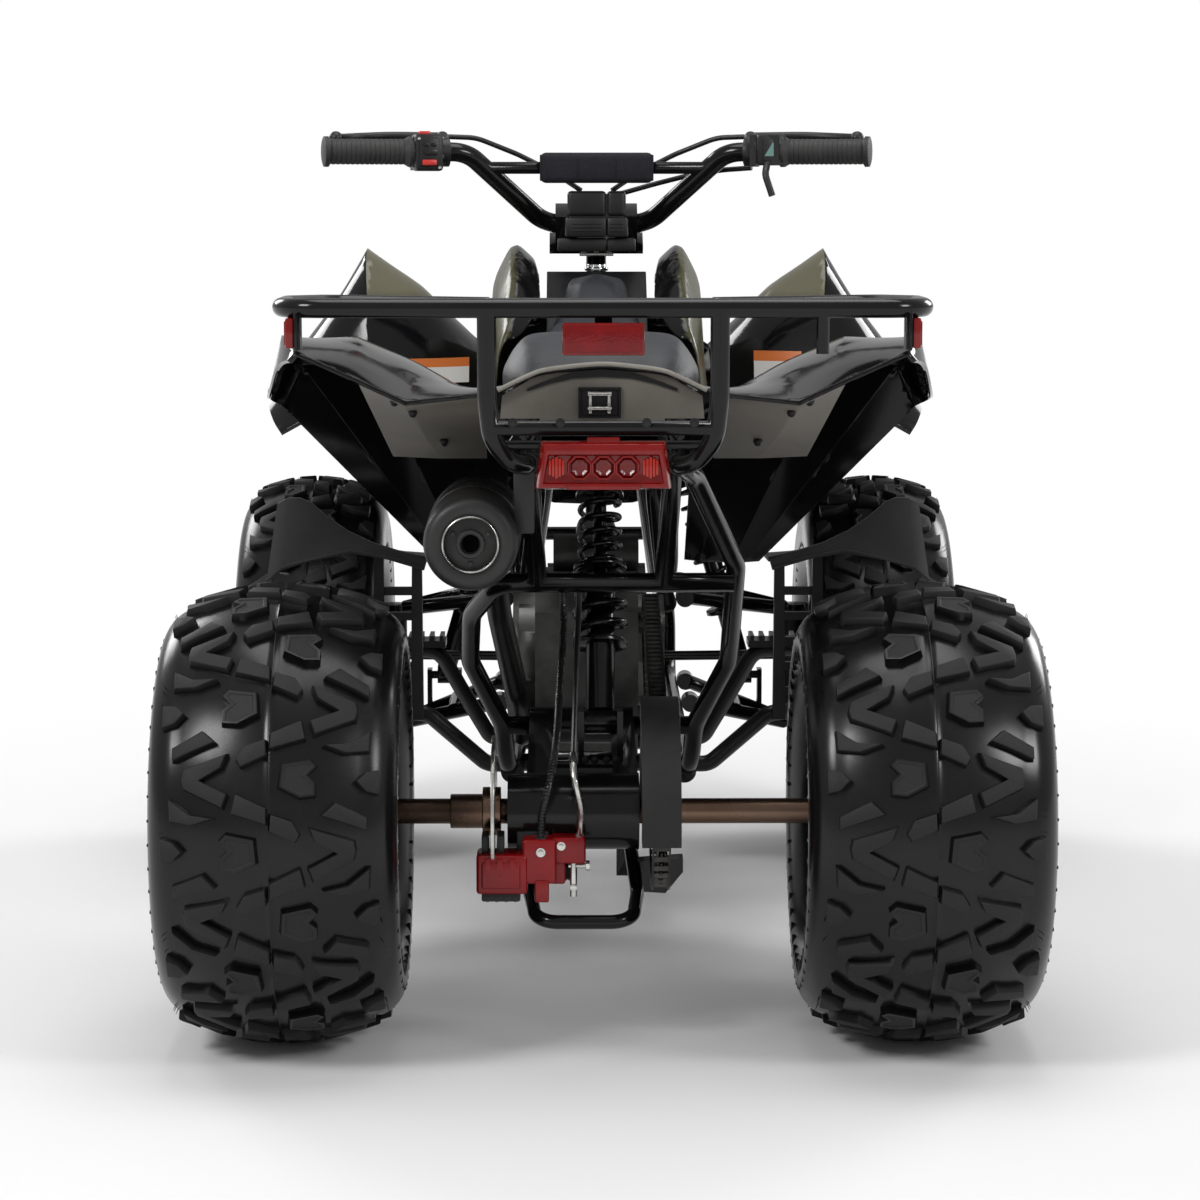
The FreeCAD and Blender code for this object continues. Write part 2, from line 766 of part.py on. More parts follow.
# Engine: crankcase, side covers, finned barrel laid forwards, starter and carburettor
def engine():
    y = num("engine_y")
    z = num("engine_z")
    low = num("rail_z") + num("strut_radius") + num("seat_gap")
    case_outline = [(y - 125, low + 30), (y - 125, z + 58), (y - 70, z + 96), (y + 60, z + 88),
                    (y + 104, z + 40), (y + 104, z - 48), (y + 66, low), (y - 95, low)]
    left = -70
    right = 44
    case = slab(case_outline, left, right, "X")
    pieces = [case]
    pieces.append(Part.makeCylinder(68, 26, Vec(left - 26, y + 30, z - 4), Vec(1, 0, 0)))
    pieces.append(Part.makeCylinder(46, 18, Vec(left - 18, y - 66, z + 14), Vec(1, 0, 0)))
    pieces.append(Part.makeCylinder(64, 32, Vec(right, y + 42, z - 6), Vec(1, 0, 0)))
    pieces.append(Part.makeCylinder(24, 96, Vec(-50, y - 14, z + 110), Vec(1, 0, 0)))
    tilt = math.radians(12)
    way = Vec(0, math.cos(tilt), math.sin(tilt))
    root = Vec(0, y + 100, z + 6)
    half = num("bore_half_width")
    pieces.append(Part.makeCylinder(40, 130, root, way))
    count = int(num("fin_count"))
    for i in range(count):
        fin = Part.makeBox(half * 2, 4, half * 1.9, Vec(-half, -2, -half * 0.95))
        fin.rotate(Vec(0, 0, 0), Vec(1, 0, 0), math.degrees(tilt))
        fin.translate(root + way * (12 + i * 10))
        pieces.append(fin)
    head = Part.makeBox(84, 44, 84, Vec(-42, 0, -42))
    head.rotate(Vec(0, 0, 0), Vec(1, 0, 0), math.degrees(tilt))
    head.translate(root + way * (12 + count * 10 - 8))
    pieces.append(head)
    intake = root + way * (12 + count * 10 + 14)
    pieces.append(Part.makeCylinder(15, 60, intake, Vec(0, -0.35, 0.94)))
    pieces.append(Part.makeCylinder(24, 58, intake + Vec(0, -52, 84), Vec(0, 1, 0)))
    port = intake + Vec(0, 10, -30)
    pieces.append(Part.makeCylinder(17, 24, port, Vec(0, 0, -1)))
    shaft = Part.makeCylinder(12, 30, Vec(right, num("drive_sprocket_y"), num("drive_sprocket_z")),
                              Vec(1, 0, 0))
    wheel = Part.makeCylinder(25, 6, Vec(num("sprocket_x") - 3, num("drive_sprocket_y"),
                                         num("drive_sprocket_z")), Vec(1, 0, 0))
    pieces += [shaft, wheel]
    return feature("engine", joined(pieces)), port + Vec(0, 0, -24)


nodes["engine"], exhaust_port = engine()


def exhaust():
    radius = num("pipe_radius")
    start = exhaust_port + Vec(0, 0, -0.3)
    mx = num("muffler_x")
    mz = num("muffler_z")
    front = num("muffler_rear_y") + num("muffler_length")
    route = [tuple(start), (start.x, start.y, 240), (-84, 170, 236), (-84, -90, 236),
             (-90, -190, 302), (-106, -262, 392), (mx + 12, front + 34, mz - 30),
             (mx + 6, front - 4, mz - 8)]
    pipe = tube(route, radius, 44)
    r = num("muffler_radius")
    rear = num("muffler_rear_y")
    profile = [(0, rear + 10), (9.5, rear + 10), (9.5, rear + 4), (14, rear + 4), (14, rear + 10),
               (26, rear + 10), (28, rear + 2), (r - 6, rear + 4), (r, rear + 12), (r, front - 14),
               (r - 12, front), (0, front)]
    ring = Part.makePolygon([Vec(x, y, 0) for x, y in profile + [profile[0]]])
    can = Part.Face(ring).revolve(Vec(0, 0, 0), Vec(0, 1, 0), 360)
    can.translate(Vec(mx, 0, mz))
    hanger_top = num("seat_rail_z") - num("seat_rail_radius") - num("seat_gap")
    hanger = Part.makeBox(20, 24, hanger_top - mz - 6, Vec(mx + r - 5, rear + 48, mz + 6))
    can = joined([can, hanger])
    return can, pipe.cut(can)


muffler_shape, pipe_shape = exhaust()
nodes["muffler"] = feature("muffler", muffler_shape)
nodes["exhaust_pipe"] = feature("exhaust_pipe", pipe_shape)


# Swing arm with the bearing carrier, the guard below it, and its pieces
def swing_arm():
    gap = num("running_gap")
    pivot_y = num("pivot_y")
    pivot_z = num("pivot_z")
    left = num("carrier_left")
    right = num("carrier_right")
    arm = [(pivot_y + 12, pivot_z + 17), (pivot_y + 12, pivot_z - 17), (rear_y + 10, rear_z - 24),
           (rear_y - 10, rear_z), (rear_y + 10, rear_z + 24)]
    pieces = [slab(arm, -75, -47, "X"), slab(arm, 12, right, "X")]
    pieces.append(rod((-75, pivot_y, pivot_z), (right, pivot_y, pivot_z), 20))
    pieces.append(rod((left, rear_y, rear_z), (right, rear_y, rear_z), num("carrier_radius")))
    cross_z = num("shock_foot_z") - 44
    pieces.append(rod((-47, num("shock_foot_y"), cross_z), (12, num("shock_foot_y"), cross_z), 13))
    for x in (-23, 17):
        pieces.append(Part.makeBox(6, 26, 56, Vec(x, num("shock_foot_y") - 13, cross_z)))
    pieces.append(rod((-23, num("shock_foot_y"), num("shock_foot_z")),
                      (23, num("shock_foot_y"), num("shock_foot_z")), num("shock_pin_radius")))
    low = num("skid_z")
    hoop = [(-60, rear_y + 85, rear_z - 12), (-72, rear_y + 14, low + 18), (-64, rear_y - 44, low),
            (30, rear_y - 44, low), (36, rear_y + 14, low + 18), (24, rear_y + 85, rear_z - 12)]
    pieces.append(tube(hoop, 7, 24))
    for x0, x1 in ((-126, -66), (26, 84)):
        wedge = [(x0, low + 34), (x0 + 8, low + 4), (x1 - 18, low + 2), (x1, low + 24), (x1, low + 38)]
        pieces.append(slab(wedge, rear_y + 84, rear_y + 110))
    for x in (-60, 24):
        pieces.append(Part.makeBox(16, 20, 70, Vec(x - 8, rear_y + 86, low + 20)))
    whole = joined(pieces)
    bore = rod((left - 5, rear_y, rear_z), (right + 5, rear_y, rear_z), num("axle_radius") + gap)
    pivot = rod((-100, pivot_y, pivot_z), (100, pivot_y, pivot_z),
                num("strut_radius") + num("seat_gap"))
    return feature("swing_arm", whole.cut(bore).cut(pivot))


nodes["swing_arm"] = swing_arm()


# Shock absorbers
def damper(foot, head, rod_radius, body_radius, eye_radius, eye_width, pin):
    """A telescopic damper between two eyes whose bores lie along X."""
    foot = Vec(*foot)
    head = Vec(*head)
    way = (head - foot).normalize()
    length = (head - foot).Length
    pieces = []
    for at in (foot, head):
        pieces.append(Part.makeCylinder(eye_radius, eye_width, at - Vec(eye_width / 2, 0, 0),
                                        Vec(1, 0, 0)))
    pieces.append(Part.makeCylinder(body_radius, length * 0.52, foot + way * (eye_radius - 2), way))
    pieces.append(Part.makeCylinder(rod_radius, length - eye_radius * 2 + 4,
                                    foot + way * (eye_radius - 2), way))
    low = foot + way * (length * 0.3)
    top = head - way * (eye_radius + 8)
    cup = body_radius + 13
    pieces.append(Part.makeCylinder(cup, 5, low, way))
    pieces.append(Part.makeCylinder(cup - 3, 5, top - way * 5, way))
    whole = joined(pieces)
    for at in (foot, head):
        whole = whole.cut(Part.makeCylinder(pin + 0.3, 80, at - Vec(40, 0, 0), Vec(1, 0, 0)))
    return whole, low + way * 5.3, top - way * 5.3


def spring(low, top, radius, wire, turns):
    """A coil between two cups, with a square wire section."""
    length = (top - low).Length
    height = length - wire
    helix = Part.makeHelix(height / turns, height, radius - wire / 2)
    corner = wire / 2
    middle = radius - wire / 2
    section = Part.makePolygon([
        Vec(middle - corner, 0, -corner), Vec(middle + corner, 0, -corner),
        Vec(middle + corner, 0, corner), Vec(middle - corner, 0, corner),
        Vec(middle - corner, 0, -corner)])
    coil = Part.Wire(helix).makePipeShell([section], True, True)
    way = (top - low).normalize()
    coil.Placement = FreeCAD.Placement(low + way * (wire / 2), FreeCAD.Rotation(Vec(0, 0, 1), way))
    return coil


def shocks():
    pin = num("shock_pin_radius")
    rear_foot = (0, num("shock_foot_y"), num("shock_foot_z"))
    rear_head = (0, num("shock_top_y"), num("shock_top_z"))
    rear, low, top = damper(rear_foot, rear_head, 7, 15, 13, 33, pin)
    front_foot = (num("front_shock_foot_x"), front_y, num("front_shock_foot_z"))
    front_head = (num("front_shock_head_x"), front_y - 15, num("front_shock_head_z"))
    front, front_low, front_top = damper(front_foot, front_head, 6, 12, 11, 18, pin - 1)
    dampers = Part.makeCompound([rear, front, mirrored(front)])
    rear_coil = spring(low, top, 28, 7, 7)
    front_coil = spring(front_low, front_top, 24, 6, 7)
    springs = Part.makeCompound([rear_coil, front_coil, mirrored(front_coil)])
    return dampers, springs


damper_shape, spring_shape = shocks()
nodes["dampers"] = feature("dampers", damper_shape)
nodes["springs"] = feature("springs", spring_shape)


# Front suspension arms, fixed at ride height
def front_arms():
    tube_r = num("arm_tube_radius")
    bush = num("arm_bush_radius")
    kingpin = num("kingpin_x")
    pivots = (
        (front_z - num("lower_arm_drop"), num("rail_x") + num("rail_radius") + bush + num("seat_gap"),
         num("rail_z"), 95),
        (front_z + num("upper_arm_rise"), num("rail_x") - 8 + num("rail_radius") + bush
         + num("seat_gap") + 1, 336, 85),
    )
    pieces = []
    for boss_low, bush_x, bush_z, spread in pivots:
        boss_z = boss_low + num("arm_boss_height") / 2
        pieces.append(Part.makeCylinder(num("arm_boss_radius"), num("arm_boss_height"),
                                        Vec(kingpin, front_y, boss_low)))
        for way in (-1, 1):
            bush_y = front_y + way * spread
            pieces.append(rod((bush_x, bush_y - 16, bush_z), (bush_x, bush_y + 16, bush_z), bush))
            pieces.append(rod((bush_x, bush_y, bush_z), (kingpin - 12, front_y + way * 6, boss_z),
                              tube_r))
    lower = pieces[:5]
    upper = pieces[5:]
    foot_x = num("front_shock_foot_x")
    foot_z = num("front_shock_foot_z")
    lower.append(rod((foot_x - 14, front_y - 54, foot_z - 38), (foot_x - 14, front_y + 54, foot_z - 38),
                     tube_r))
    for x in (foot_x - 22, foot_x + 16):
        lower.append(Part.makeBox(6, 20, 48, Vec(x, front_y - 10, foot_z - 40)))
    lower.append(rod((foot_x - 22, front_y, foot_z), (foot_x + 22, front_y, foot_z),
                     num("shock_pin_radius") - 1))
    pin = num("kingpin_radius") + num("running_gap")
    hole = Part.makeCylinder(pin, 400, Vec(kingpin, front_y, 0))
    low = front_z - num("lower_arm_drop") + num("arm_boss_height")
    high = front_z + num("upper_arm_rise")
    sweep = Part.makeCylinder(num("kingpin_post_radius") + 5, high - low, Vec(kingpin, front_y, low))
    low_arm = joined(lower).cut(hole).cut(sweep)
    top_arm = joined(upper).cut(hole).cut(sweep)
    return feature("front_arms", Part.makeCompound(
        [low_arm, top_arm, mirrored(low_arm), mirrored(top_arm)]))


nodes["front_arms"] = front_arms()


# Knuckles, drum hubs and front rims
def knuckle(word, side):
    kingpin = num("kingpin_x")
    low = front_z - num("lower_arm_drop")
    high = front_z + num("upper_arm_rise") + num("arm_boss_height")
    post_low = low + num("arm_boss_height") + num("seat_gap")
    post_high = high - num("arm_boss_height") - num("seat_gap")
    pieces = [Part.makeCylinder(num("kingpin_radius"), high - low, Vec(kingpin, front_y, low)),
              Part.makeCylinder(num("kingpin_post_radius"), post_high - post_low,
                                Vec(kingpin, front_y, post_low))]
    plate = num("front_track") / 2 + num("wheel_seat_offset")
    backing = kingpin + 24
    pieces.append(rod((kingpin, front_y, front_z), (backing, front_y, front_z), 24))
    pieces.append(rod((backing, front_y, front_z), (backing + 5, front_y, front_z),
                      num("drum_radius") + 3))
    pieces.append(rod((kingpin, front_y, front_z), (plate + 14, front_y, front_z),
                      num("axle_radius")))
    eye = Vec(kingpin + num("steer_eye_spread"), front_y - num("steer_arm_length"), 0)
    arm_z = front_z + 30
    arm = slab([(kingpin - 12, front_y), (kingpin + 12, front_y), (eye.x + 10, eye.y - 4),
                (eye.x + 4, eye.y - 10), (eye.x - 4, eye.y - 10), (eye.x - 10, eye.y - 4)],
               arm_z, arm_z + 8, "Z")
    pieces.append(arm)
    stud = Part.makeCylinder(num("tie_stud_radius"), 26, Vec(eye.x, eye.y, arm_z - 24))
    pieces.append(stud)
    whole = joined(pieces)
    return feature(f"knuckle_{word}", whole if side == 1 else mirrored(whole))


def front_rim(word, side):
    wheel = rim(f"front_rim_shell_{word}", side, size("front_rim_width"), size("front_track"),
                front_axle_y, size("front_tyre_radius"))
    plate = size("front_track") / 2 + size("wheel_seat_offset")
    wall = size("rim_wall")
    at = (front_axle_y, size("front_tyre_radius"))
    flange = size("hub_flange_thickness")
    drum_x = side * (plate - wall - flange / 2) - flange / 2
    drum = cylinder(f"drum_face_{word}", size("drum_radius"), flange, (drum_x, *at))
    cap_x = side * (plate + wall + 11) - 11
    cap = cylinder(f"hub_cap_{word}", size("hub_sleeve_radius"), 22, (cap_x, *at))
    sleeve_x = side * (plate - wall - 16) - 16
    sleeve = cylinder(f"drum_{word}", size("hub_sleeve_radius"), 32, (sleeve_x, *at))
    whole = fused(f"front_hub_{word}", [wheel, drum, sleeve, cap])
    reach = plate + 18
    bore_x = side * reach / 2 - reach / 2
    bore = cylinder(f"hub_bore_{word}", size("axle_radius") + size("running_gap"), reach,
                    (bore_x, *at))
    return cut(f"front_rim_{word}", whole, bore)


for side, word in ((-1, "left"), (1, "right")):
    nodes[f"knuckle_{word}"] = knuckle(word, side)
    nodes[f"front_rim_{word}"] = front_rim(word, side)


# Chain, its guard and the brake caliper
def pitch_radius(teeth):
    return num("chain_pitch") / 2 / math.sin(math.pi / teeth)


def chain():
    """Two link-plate bands on either side of the sprockets, with the rollers between them."""
    big = pitch_radius(num("sprocket_teeth"))
    small = pitch_radius(num("drive_teeth"))
    back = Vec(0, rear_y, rear_z)
    fore = Vec(0, num("drive_sprocket_y"), num("drive_sprocket_z"))
    span = fore - back
    lean = math.atan2(span.z, span.y)
    open_angle = math.asin((big - small) / span.Length)

    def at(centre, radius, angle):
        return centre + Vec(0, math.cos(angle), math.sin(angle)) * radius

    top = lean + math.pi / 2 - open_angle
    low = lean - math.pi / 2 + open_angle

    def loop(shift):
        a = at(back, big + shift, low)
        b = at(fore, small + shift, low)
        c = at(fore, small + shift, top)
        d = at(back, big + shift, top)
        return Part.Wire([
            Part.LineSegment(a, b).toShape(),
            Part.Arc(b, at(fore, small + shift, lean), c).toShape(),
            Part.LineSegment(c, d).toShape(),
            Part.Arc(d, at(back, big + shift, lean + math.pi), a).toShape()])

    half = num("chain_width") / 2
    plate = num("chain_plate")
    height = num("chain_plate_height") / 2
    band = Part.Face(loop(height)).cut(Part.Face(loop(-height)))
    x = num("sprocket_x")
    bands = []
    for start in (x - half, x + half - plate):
        strip = band.copy()
        strip.translate(Vec(start, 0, 0))
        bands.append(strip.extrude(Vec(plate, 0, 0)))
    pitch = num("chain_pitch")
    straight = span.Length * math.cos(open_angle)
    step = 2 * math.pi / num("sprocket_teeth")
    first_seat = math.ceil(top / step) * step
    last_seat = math.floor((low + 2 * math.pi) / step) * step
    stops = [at(back, big, first_seat + step * i)
             for i in range(int(round((last_seat - first_seat) / step)) + 1)]
    top_rest = big * (first_seat - top)
    low_rest = big * (low + 2 * math.pi - last_seat)
    nose = small * (top - low)
    rest = top_rest + straight + nose + straight + low_rest
    links = int(round(rest / pitch))
    back_top = at(back, big, top)
    fore_top = at(fore, small, top)
    fore_low = at(fore, small, low)
    back_low = at(back, big, low)
    for i in range(1, links):
        run = rest * i / links
        if run < top_rest:
            stops.append(at(back, big, first_seat - run / big))
        elif run < top_rest + straight:
            stops.append(back_top + (fore_top - back_top) * ((run - top_rest) / straight))
        elif run < top_rest + straight + nose:
            stops.append(at(fore, small, top - (run - top_rest - straight) / small))
        elif run < rest - low_rest:
            share = (run - top_rest - straight - nose) / straight
            stops.append(fore_low + (back_low - fore_low) * share)
        else:
            stops.append(at(back, big, low - (run - rest + low_rest) / big))
    bars = []
    width = num("roller_radius") * 1.2
    for stop in stops:
        bar = Part.makeBox(half * 2 - 2 * plate, width, width, Vec(x - half + plate, stop.y - width / 2,
                                                                   stop.z - width / 2))
        bars.append(bar)
    return feature("chain", bands[0].multiFuse(bands[1:] + bars))


def chain_guard():
    x0 = num("sprocket_x") - 20
    x1 = num("sprocket_x") + 18
    outer = pitch_radius(num("sprocket_teeth")) + 41

    def sector(inner, reach, low, high, start, end):
        a = math.radians(low)
        b = math.radians(high)

        def at(radius, angle):
            return Vec(0, rear_y - radius * math.cos(angle), rear_z + radius * math.sin(angle))

        middle = (a + b) / 2
        edge = Part.Wire([
            Part.Arc(at(inner, a), at(inner, middle), at(inner, b)).toShape(),
            Part.LineSegment(at(inner, b), at(reach, b)).toShape(),
            Part.Arc(at(reach, b), at(reach, middle), at(reach, a)).toShape(),
            Part.LineSegment(at(reach, a), at(inner, a)).toShape()])
        face = Part.Face(edge)
        face.translate(Vec(start, 0, 0))
        return face.extrude(Vec(end - start, 0, 0))

    low = -8
    high = 98
    pieces = [sector(outer - 5, outer, low, high, x0, x1),
              sector(outer - 22, outer, low, high, x0, x0 + 3),
              sector(outer - 22, outer, low, high, x1 - 3, x1),
              sector(22, outer - 8, 40, 58, num("carrier_right") + 0.1, x0 + 3)]
    return feature("chain_guard", joined(pieces))


def brake_caliper():
    disc_x = num("disc_x")
    slot = num("disc_thickness") / 2 + num("pad_gap")
    y0 = rear_y - 66
    y1 = rear_y - 12
    pieces = [
        Part.makeBox(52, 44, 40, Vec(disc_x - 16, y0, rear_z - 72)),
        Part.makeBox(34, 50, 46, Vec(disc_x + 30, y0 + 2, rear_z - 62)),
        Part.makeBox(34, 34, 24, Vec(disc_x + 60, y0 + 8, rear_z - 40)),
        Part.makeCylinder(13, 40, Vec(disc_x + 36, y0 + 24, rear_z - 52), Vec(1, 0, 0)),
        Part.makeBox(5, 14, 48, Vec(disc_x + 76, y0 + 16, rear_z - 76)),
        Part.makeBox(8, 40, 34, Vec(num("carrier_left") + 4, y1 - 34, rear_z - 62)),
    ]
    whole = joined(pieces)
    whole = whole.cut(rod((disc_x - slot, rear_y, rear_z), (disc_x + slot, rear_y, rear_z),
                          num("disc_radius") + 4))
    around = num("carrier_radius") + num("seat_gap")
    whole = whole.cut(rod((-200, rear_y, rear_z), (100, rear_y, rear_z), around))
    return feature("brake_caliper", joined([whole]))


nodes["chain"] = chain()
nodes["chain_guard"] = chain_guard()
nodes["brake_caliper"] = brake_caliper()


# Bodywork: each half section runs from the middle outwards as (x, z)
def full(half):
    return [(-x, z) for x, z in reversed(half[1:])] + list(half)


def rear_body():
    wall = num("panel_wall")
    shell = moulded([
        (-600, full([(0, 678), (60, 672), (104, 650), (188, 641), (236, 663), (292, 688), (299, 680)])),
        (-520, full([(0, 652), (60, 650), (104, 648), (188, 655), (240, 684), (312, 700), (320, 666)])),
        (-380, full([(0, 614), (60, 615), (104, 622), (188, 668), (248, 694), (322, 690), (340, 634)])),
        (-260, full([(0, 605), (60, 606), (104, 612), (188, 655), (248, 674), (318, 664), (340, 618)])),
        (-170, full([(0, 603), (60, 604), (104, 608), (160, 606), (205, 600), (252, 588), (266, 560)])),
    ], wall)
    pieces = [shell]
    for side in (1, -1):
        upper = [(100, -256, 609), (146, -256, 634), (190, -256, 653), (248, -256, 671),
                 (316, -256, 661), (338, -256, 618)]
        lower = [(94, -150, 440), (112, -150, 438), (130, -150, 437), (146, -150, 437),
                 (162, -150, 437), (176, -150, 438)]
        if side == -1:
            upper, lower = flip(upper), flip(lower)
        pieces.append(ribbon(upper, lower, (0, wall, 0)))
        pad_z = num("seat_rail_z") + num("seat_rail_radius") + num("seat_gap")
        for pad_y, top in ((-240, 603), (-560, 660)):
            pieces.append(Part.makeBox(16, 24, top - pad_z,
                                       Vec(side * num("seat_rail_x") - 8, pad_y, pad_z)))
    return feature("rear_body", joined(pieces))


def fender_liners():
    wall = 3
    rim_line = [(116, -590, 646), (188, -590, 638), (234, -590, 661)]
    low_line = [(116, -378, 572), (165, -378, 572), (212, -376, 574)]
    side = ribbon(rim_line, low_line, (0, 0, -wall))
    tail = slab([(-98, 624), (98, 624), (96, 646), (58, 668), (0, 674), (-58, 668), (-96, 646)],
                -592, -588)
    latch = Part.makeBox(36, 30, 30, Vec(-22, -592, 624))
    shelf = Part.makeBox(120, 60, 3, Vec(-60, -592, 621))
    shell = [nodes["rear_body"].Shape]
    side = clear_of(side, shell, (0, 0, -1))
    return feature("fender_liners", Part.makeCompound(
        [side, mirrored(side), clear_of(joined([tail, latch, shelf]), shell, (0, 0, -1))]))


def leg_under(panel, foot, radius):
    """An upright leg from its foot to the underside of a panel."""
    bar = Part.makeCylinder(radius, panel.BoundBox.ZMax - foot.z + radius, foot)
    return min(bar.cut(panel).Solids, key=lambda solid: solid.CenterOfMass.z)


def front_plan():
    """What the front bodywork covers, seen from above."""
    side = 420
    nose = Vec(150, 712, 0)
    corner = Part.Arc(Vec(side, 500, 0), Vec(336, 640, 0), nose).toShape()
    edges = [corner, Part.LineSegment(nose, Vec(-nose.x, nose.y, 0)).toShape(),
             mirrored(corner), Part.LineSegment(Vec(-side, 500, 0), Vec(-side, 100, 0)).toShape(),
             Part.LineSegment(Vec(-side, 100, 0), Vec(side, 100, 0)).toShape(),
             Part.LineSegment(Vec(side, 100, 0), Vec(side, 500, 0)).toShape()]
    face = Part.Face(Part.Wire(Part.__sortEdges__(edges)))
    face.translate(Vec(0, 0, 300))
    return face.extrude(Vec(0, 0, 600))


def front_body():
    wall = num("panel_wall")
    nose = moulded([
        (330, full([(0, 712), (70, 700), (138, 655), (208, 720), (277, 766), (316, 702), (402, 600)])),
        (420, full([(0, 700), (70, 690), (135, 640), (200, 690), (272, 722), (316, 660), (405, 596)])),
        (560, full([(0, 664), (66, 656), (120, 612), (185, 640), (258, 664), (316, 628), (404, 580)])),
        (655, full([(0, 622), (60, 614), (104, 586), (165, 602), (240, 614), (310, 588), (392, 548)])),
        (722, full([(0, 580), (52, 574), (92, 556), (144, 562), (210, 560), (282, 540), (350, 512)])),
    ], wall).common(front_plan())
    fin = moulded([
        (330, [(138, 655), (208, 720), (277, 766), (316, 702), (402, 600)]),
        (270, [(140, 628), (206, 708), (277, 762), (314, 706), (398, 596)]),
        (215, [(146, 560), (196, 600), (268, 668), (306, 650), (388, 572)]),
        (190, [(150, 520), (190, 548), (250, 600), (296, 600), (376, 556)]),
    ], wall)
    leg = leg_under(nose, Vec(24, 355, 541 + 9 + num("seat_gap")), 7)
    whole = joined([nose, fin, mirrored(fin), leg, mirrored(leg)])
    return feature("front_body", max(whole.Solids, key=lambda solid: solid.Volume))


def headlight():
    upper = [(96, 712, 534), (140, 712, 540), (196, 708, 540), (244, 694, 528)]
    lower = [(124, 700, 494), (156, 700, 491), (192, 694, 492), (226, 682, 502)]
    return ribbon(upper, lower, (0, -18, 0))


def nose_mask(body, lamp):
    """The front face between the lamps, with slots to let air through."""
    top_edge = [(0, 706, 588), (52, 706, 582), (92, 706, 564), (144, 706, 570), (200, 694, 568),
                (252, 672, 556), (300, 644, 556)]
    low_edge = [(0, 674, 426), (52, 674, 428), (92, 674, 438), (144, 674, 456), (192, 664, 470),
                (232, 648, 482), (262, 630, 494)]
    mask = ribbon(top_edge, low_edge, (0, -num("panel_wall"), 0))
    whole = joined([mask, mirrored(mask)])
    for x in (-1, 0, 1):
        for z in (-1, 0, 1):
            room = lamp.copy()
            room.translate(Vec(x, 0, z) * num("seat_gap"))
            whole = whole.cut(room).cut(mirrored(room))
    for i in range(5):
        half = 66 - i * 5
        whole = whole.cut(Part.makeBox(half * 2, 80, 8, Vec(-half, 640, 528 - i * 18)))
    return clear_of(whole, [body], (0, 0, -1))


def tank_shrouds():
    side = moulded([
        (-60, [(90, 674), (103, 686), (113, 660), (120, 560)]),
        (60, [(60, 738), (96, 768), (119, 724), (128, 580)]),
        (150, [(68, 758), (97, 785), (121, 737), (130, 590)]),
        (240, [(76, 736), (100, 758), (123, 704), (140, 560)]),
        (316, [(96, 676), (110, 700), (128, 660), (150, 540)]),
    ], num("panel_wall"))
    peg = rod((num("tank_half_width") + num("seat_gap"), 150, 690), (121, 150, 690), 6)
    return feature("tank_shrouds", both_sides(joined([side, peg])))


def tank():
    top = num("tank_top_z")
    block_points = [(-10, 612), (170, 640), (176, 700), (172, top - 6), (140, top), (60, 700), (-10, 660)]
    half = num("tank_half_width")
    foot = Part.makeBox(22, 24, 50, Vec(num("seat_rail_x") - 22, 84, 590))
    body = joined([slab(block_points, -half, half, "X"), foot, mirrored(foot)])
    return clear_of(body, [nodes["frame"].Shape], (0, 0, 1))


def seat(under):
    rows = [
        (-505, 60, 70, 655, 668), (-470, 74, 92, 636, 690), (-330, 80, 100, 618, 690),
        (-150, 74, 94, 608, 674), (0, 52, 78, 612, 702), (90, 38, 58, 640, 742), (138, 30, 46, 690, 754),
    ]
    wires = []
    for y, top, low, z0, z1 in rows:
        ring = [(-low, z0), (low, z0), (low + 2, z0 + (z1 - z0) * 0.5), (top, z1 - 4), (0, z1),
                (-top, z1 - 4), (-low - 2, z0 + (z1 - z0) * 0.5)]
        points = [Vec(x, y, z) for x, z in ring]
        wires.append(Part.makePolygon(points + [points[0]]))
    cushion = Part.makeLoft(wires, True, False)
    for other in under:
        cushion = cushion.cut(other)
    return cushion


nodes["rear_body"] = rear_body()
nodes["fender_liners"] = fender_liners()
nodes["front_body"] = front_body()
lamp_shape = headlight()
nodes["headlights"] = feature("headlights", both_sides(lamp_shape))
nodes["nose_mask"] = feature("nose_mask", nose_mask(nodes["front_body"].Shape, lamp_shape))
nodes["tank_shrouds"] = tank_shrouds()
tank_shape = tank()
gap = num("seat_gap")
room = []
for shape, way in ((nodes["rear_body"].Shape, Vec(0, 0, gap)), (tank_shape, Vec(0, 0, gap)),
                   (nodes["tank_shrouds"].Shape, Vec(0, 0, gap))):
    lifted = shape.copy()
    lifted.translate(way)
    room += [shape, lifted]
seat_shape = seat(room)
largest = max(seat_shape.Solids, key=lambda solid: solid.Volume)
nodes["seat"] = feature("seat", largest)
nodes["tank"] = feature("tank", tank_shape)


def fuel_cap():
    """A flat cap, low enough for the handlebar clamp to turn above it."""
    foot = size("tank_top_z") + size("seat_gap")
    neck = cylinder("cap_neck", size("cap_radius"), 4, (0, size("cap_y"), foot), "Z")
    crown = cylinder("cap_crown", size("cap_radius") - 3, 4, (0, size("cap_y"), foot + 4), "Z")
    return fused("fuel_cap", [neck, crown])


nodes["fuel_cap"] = fuel_cap()


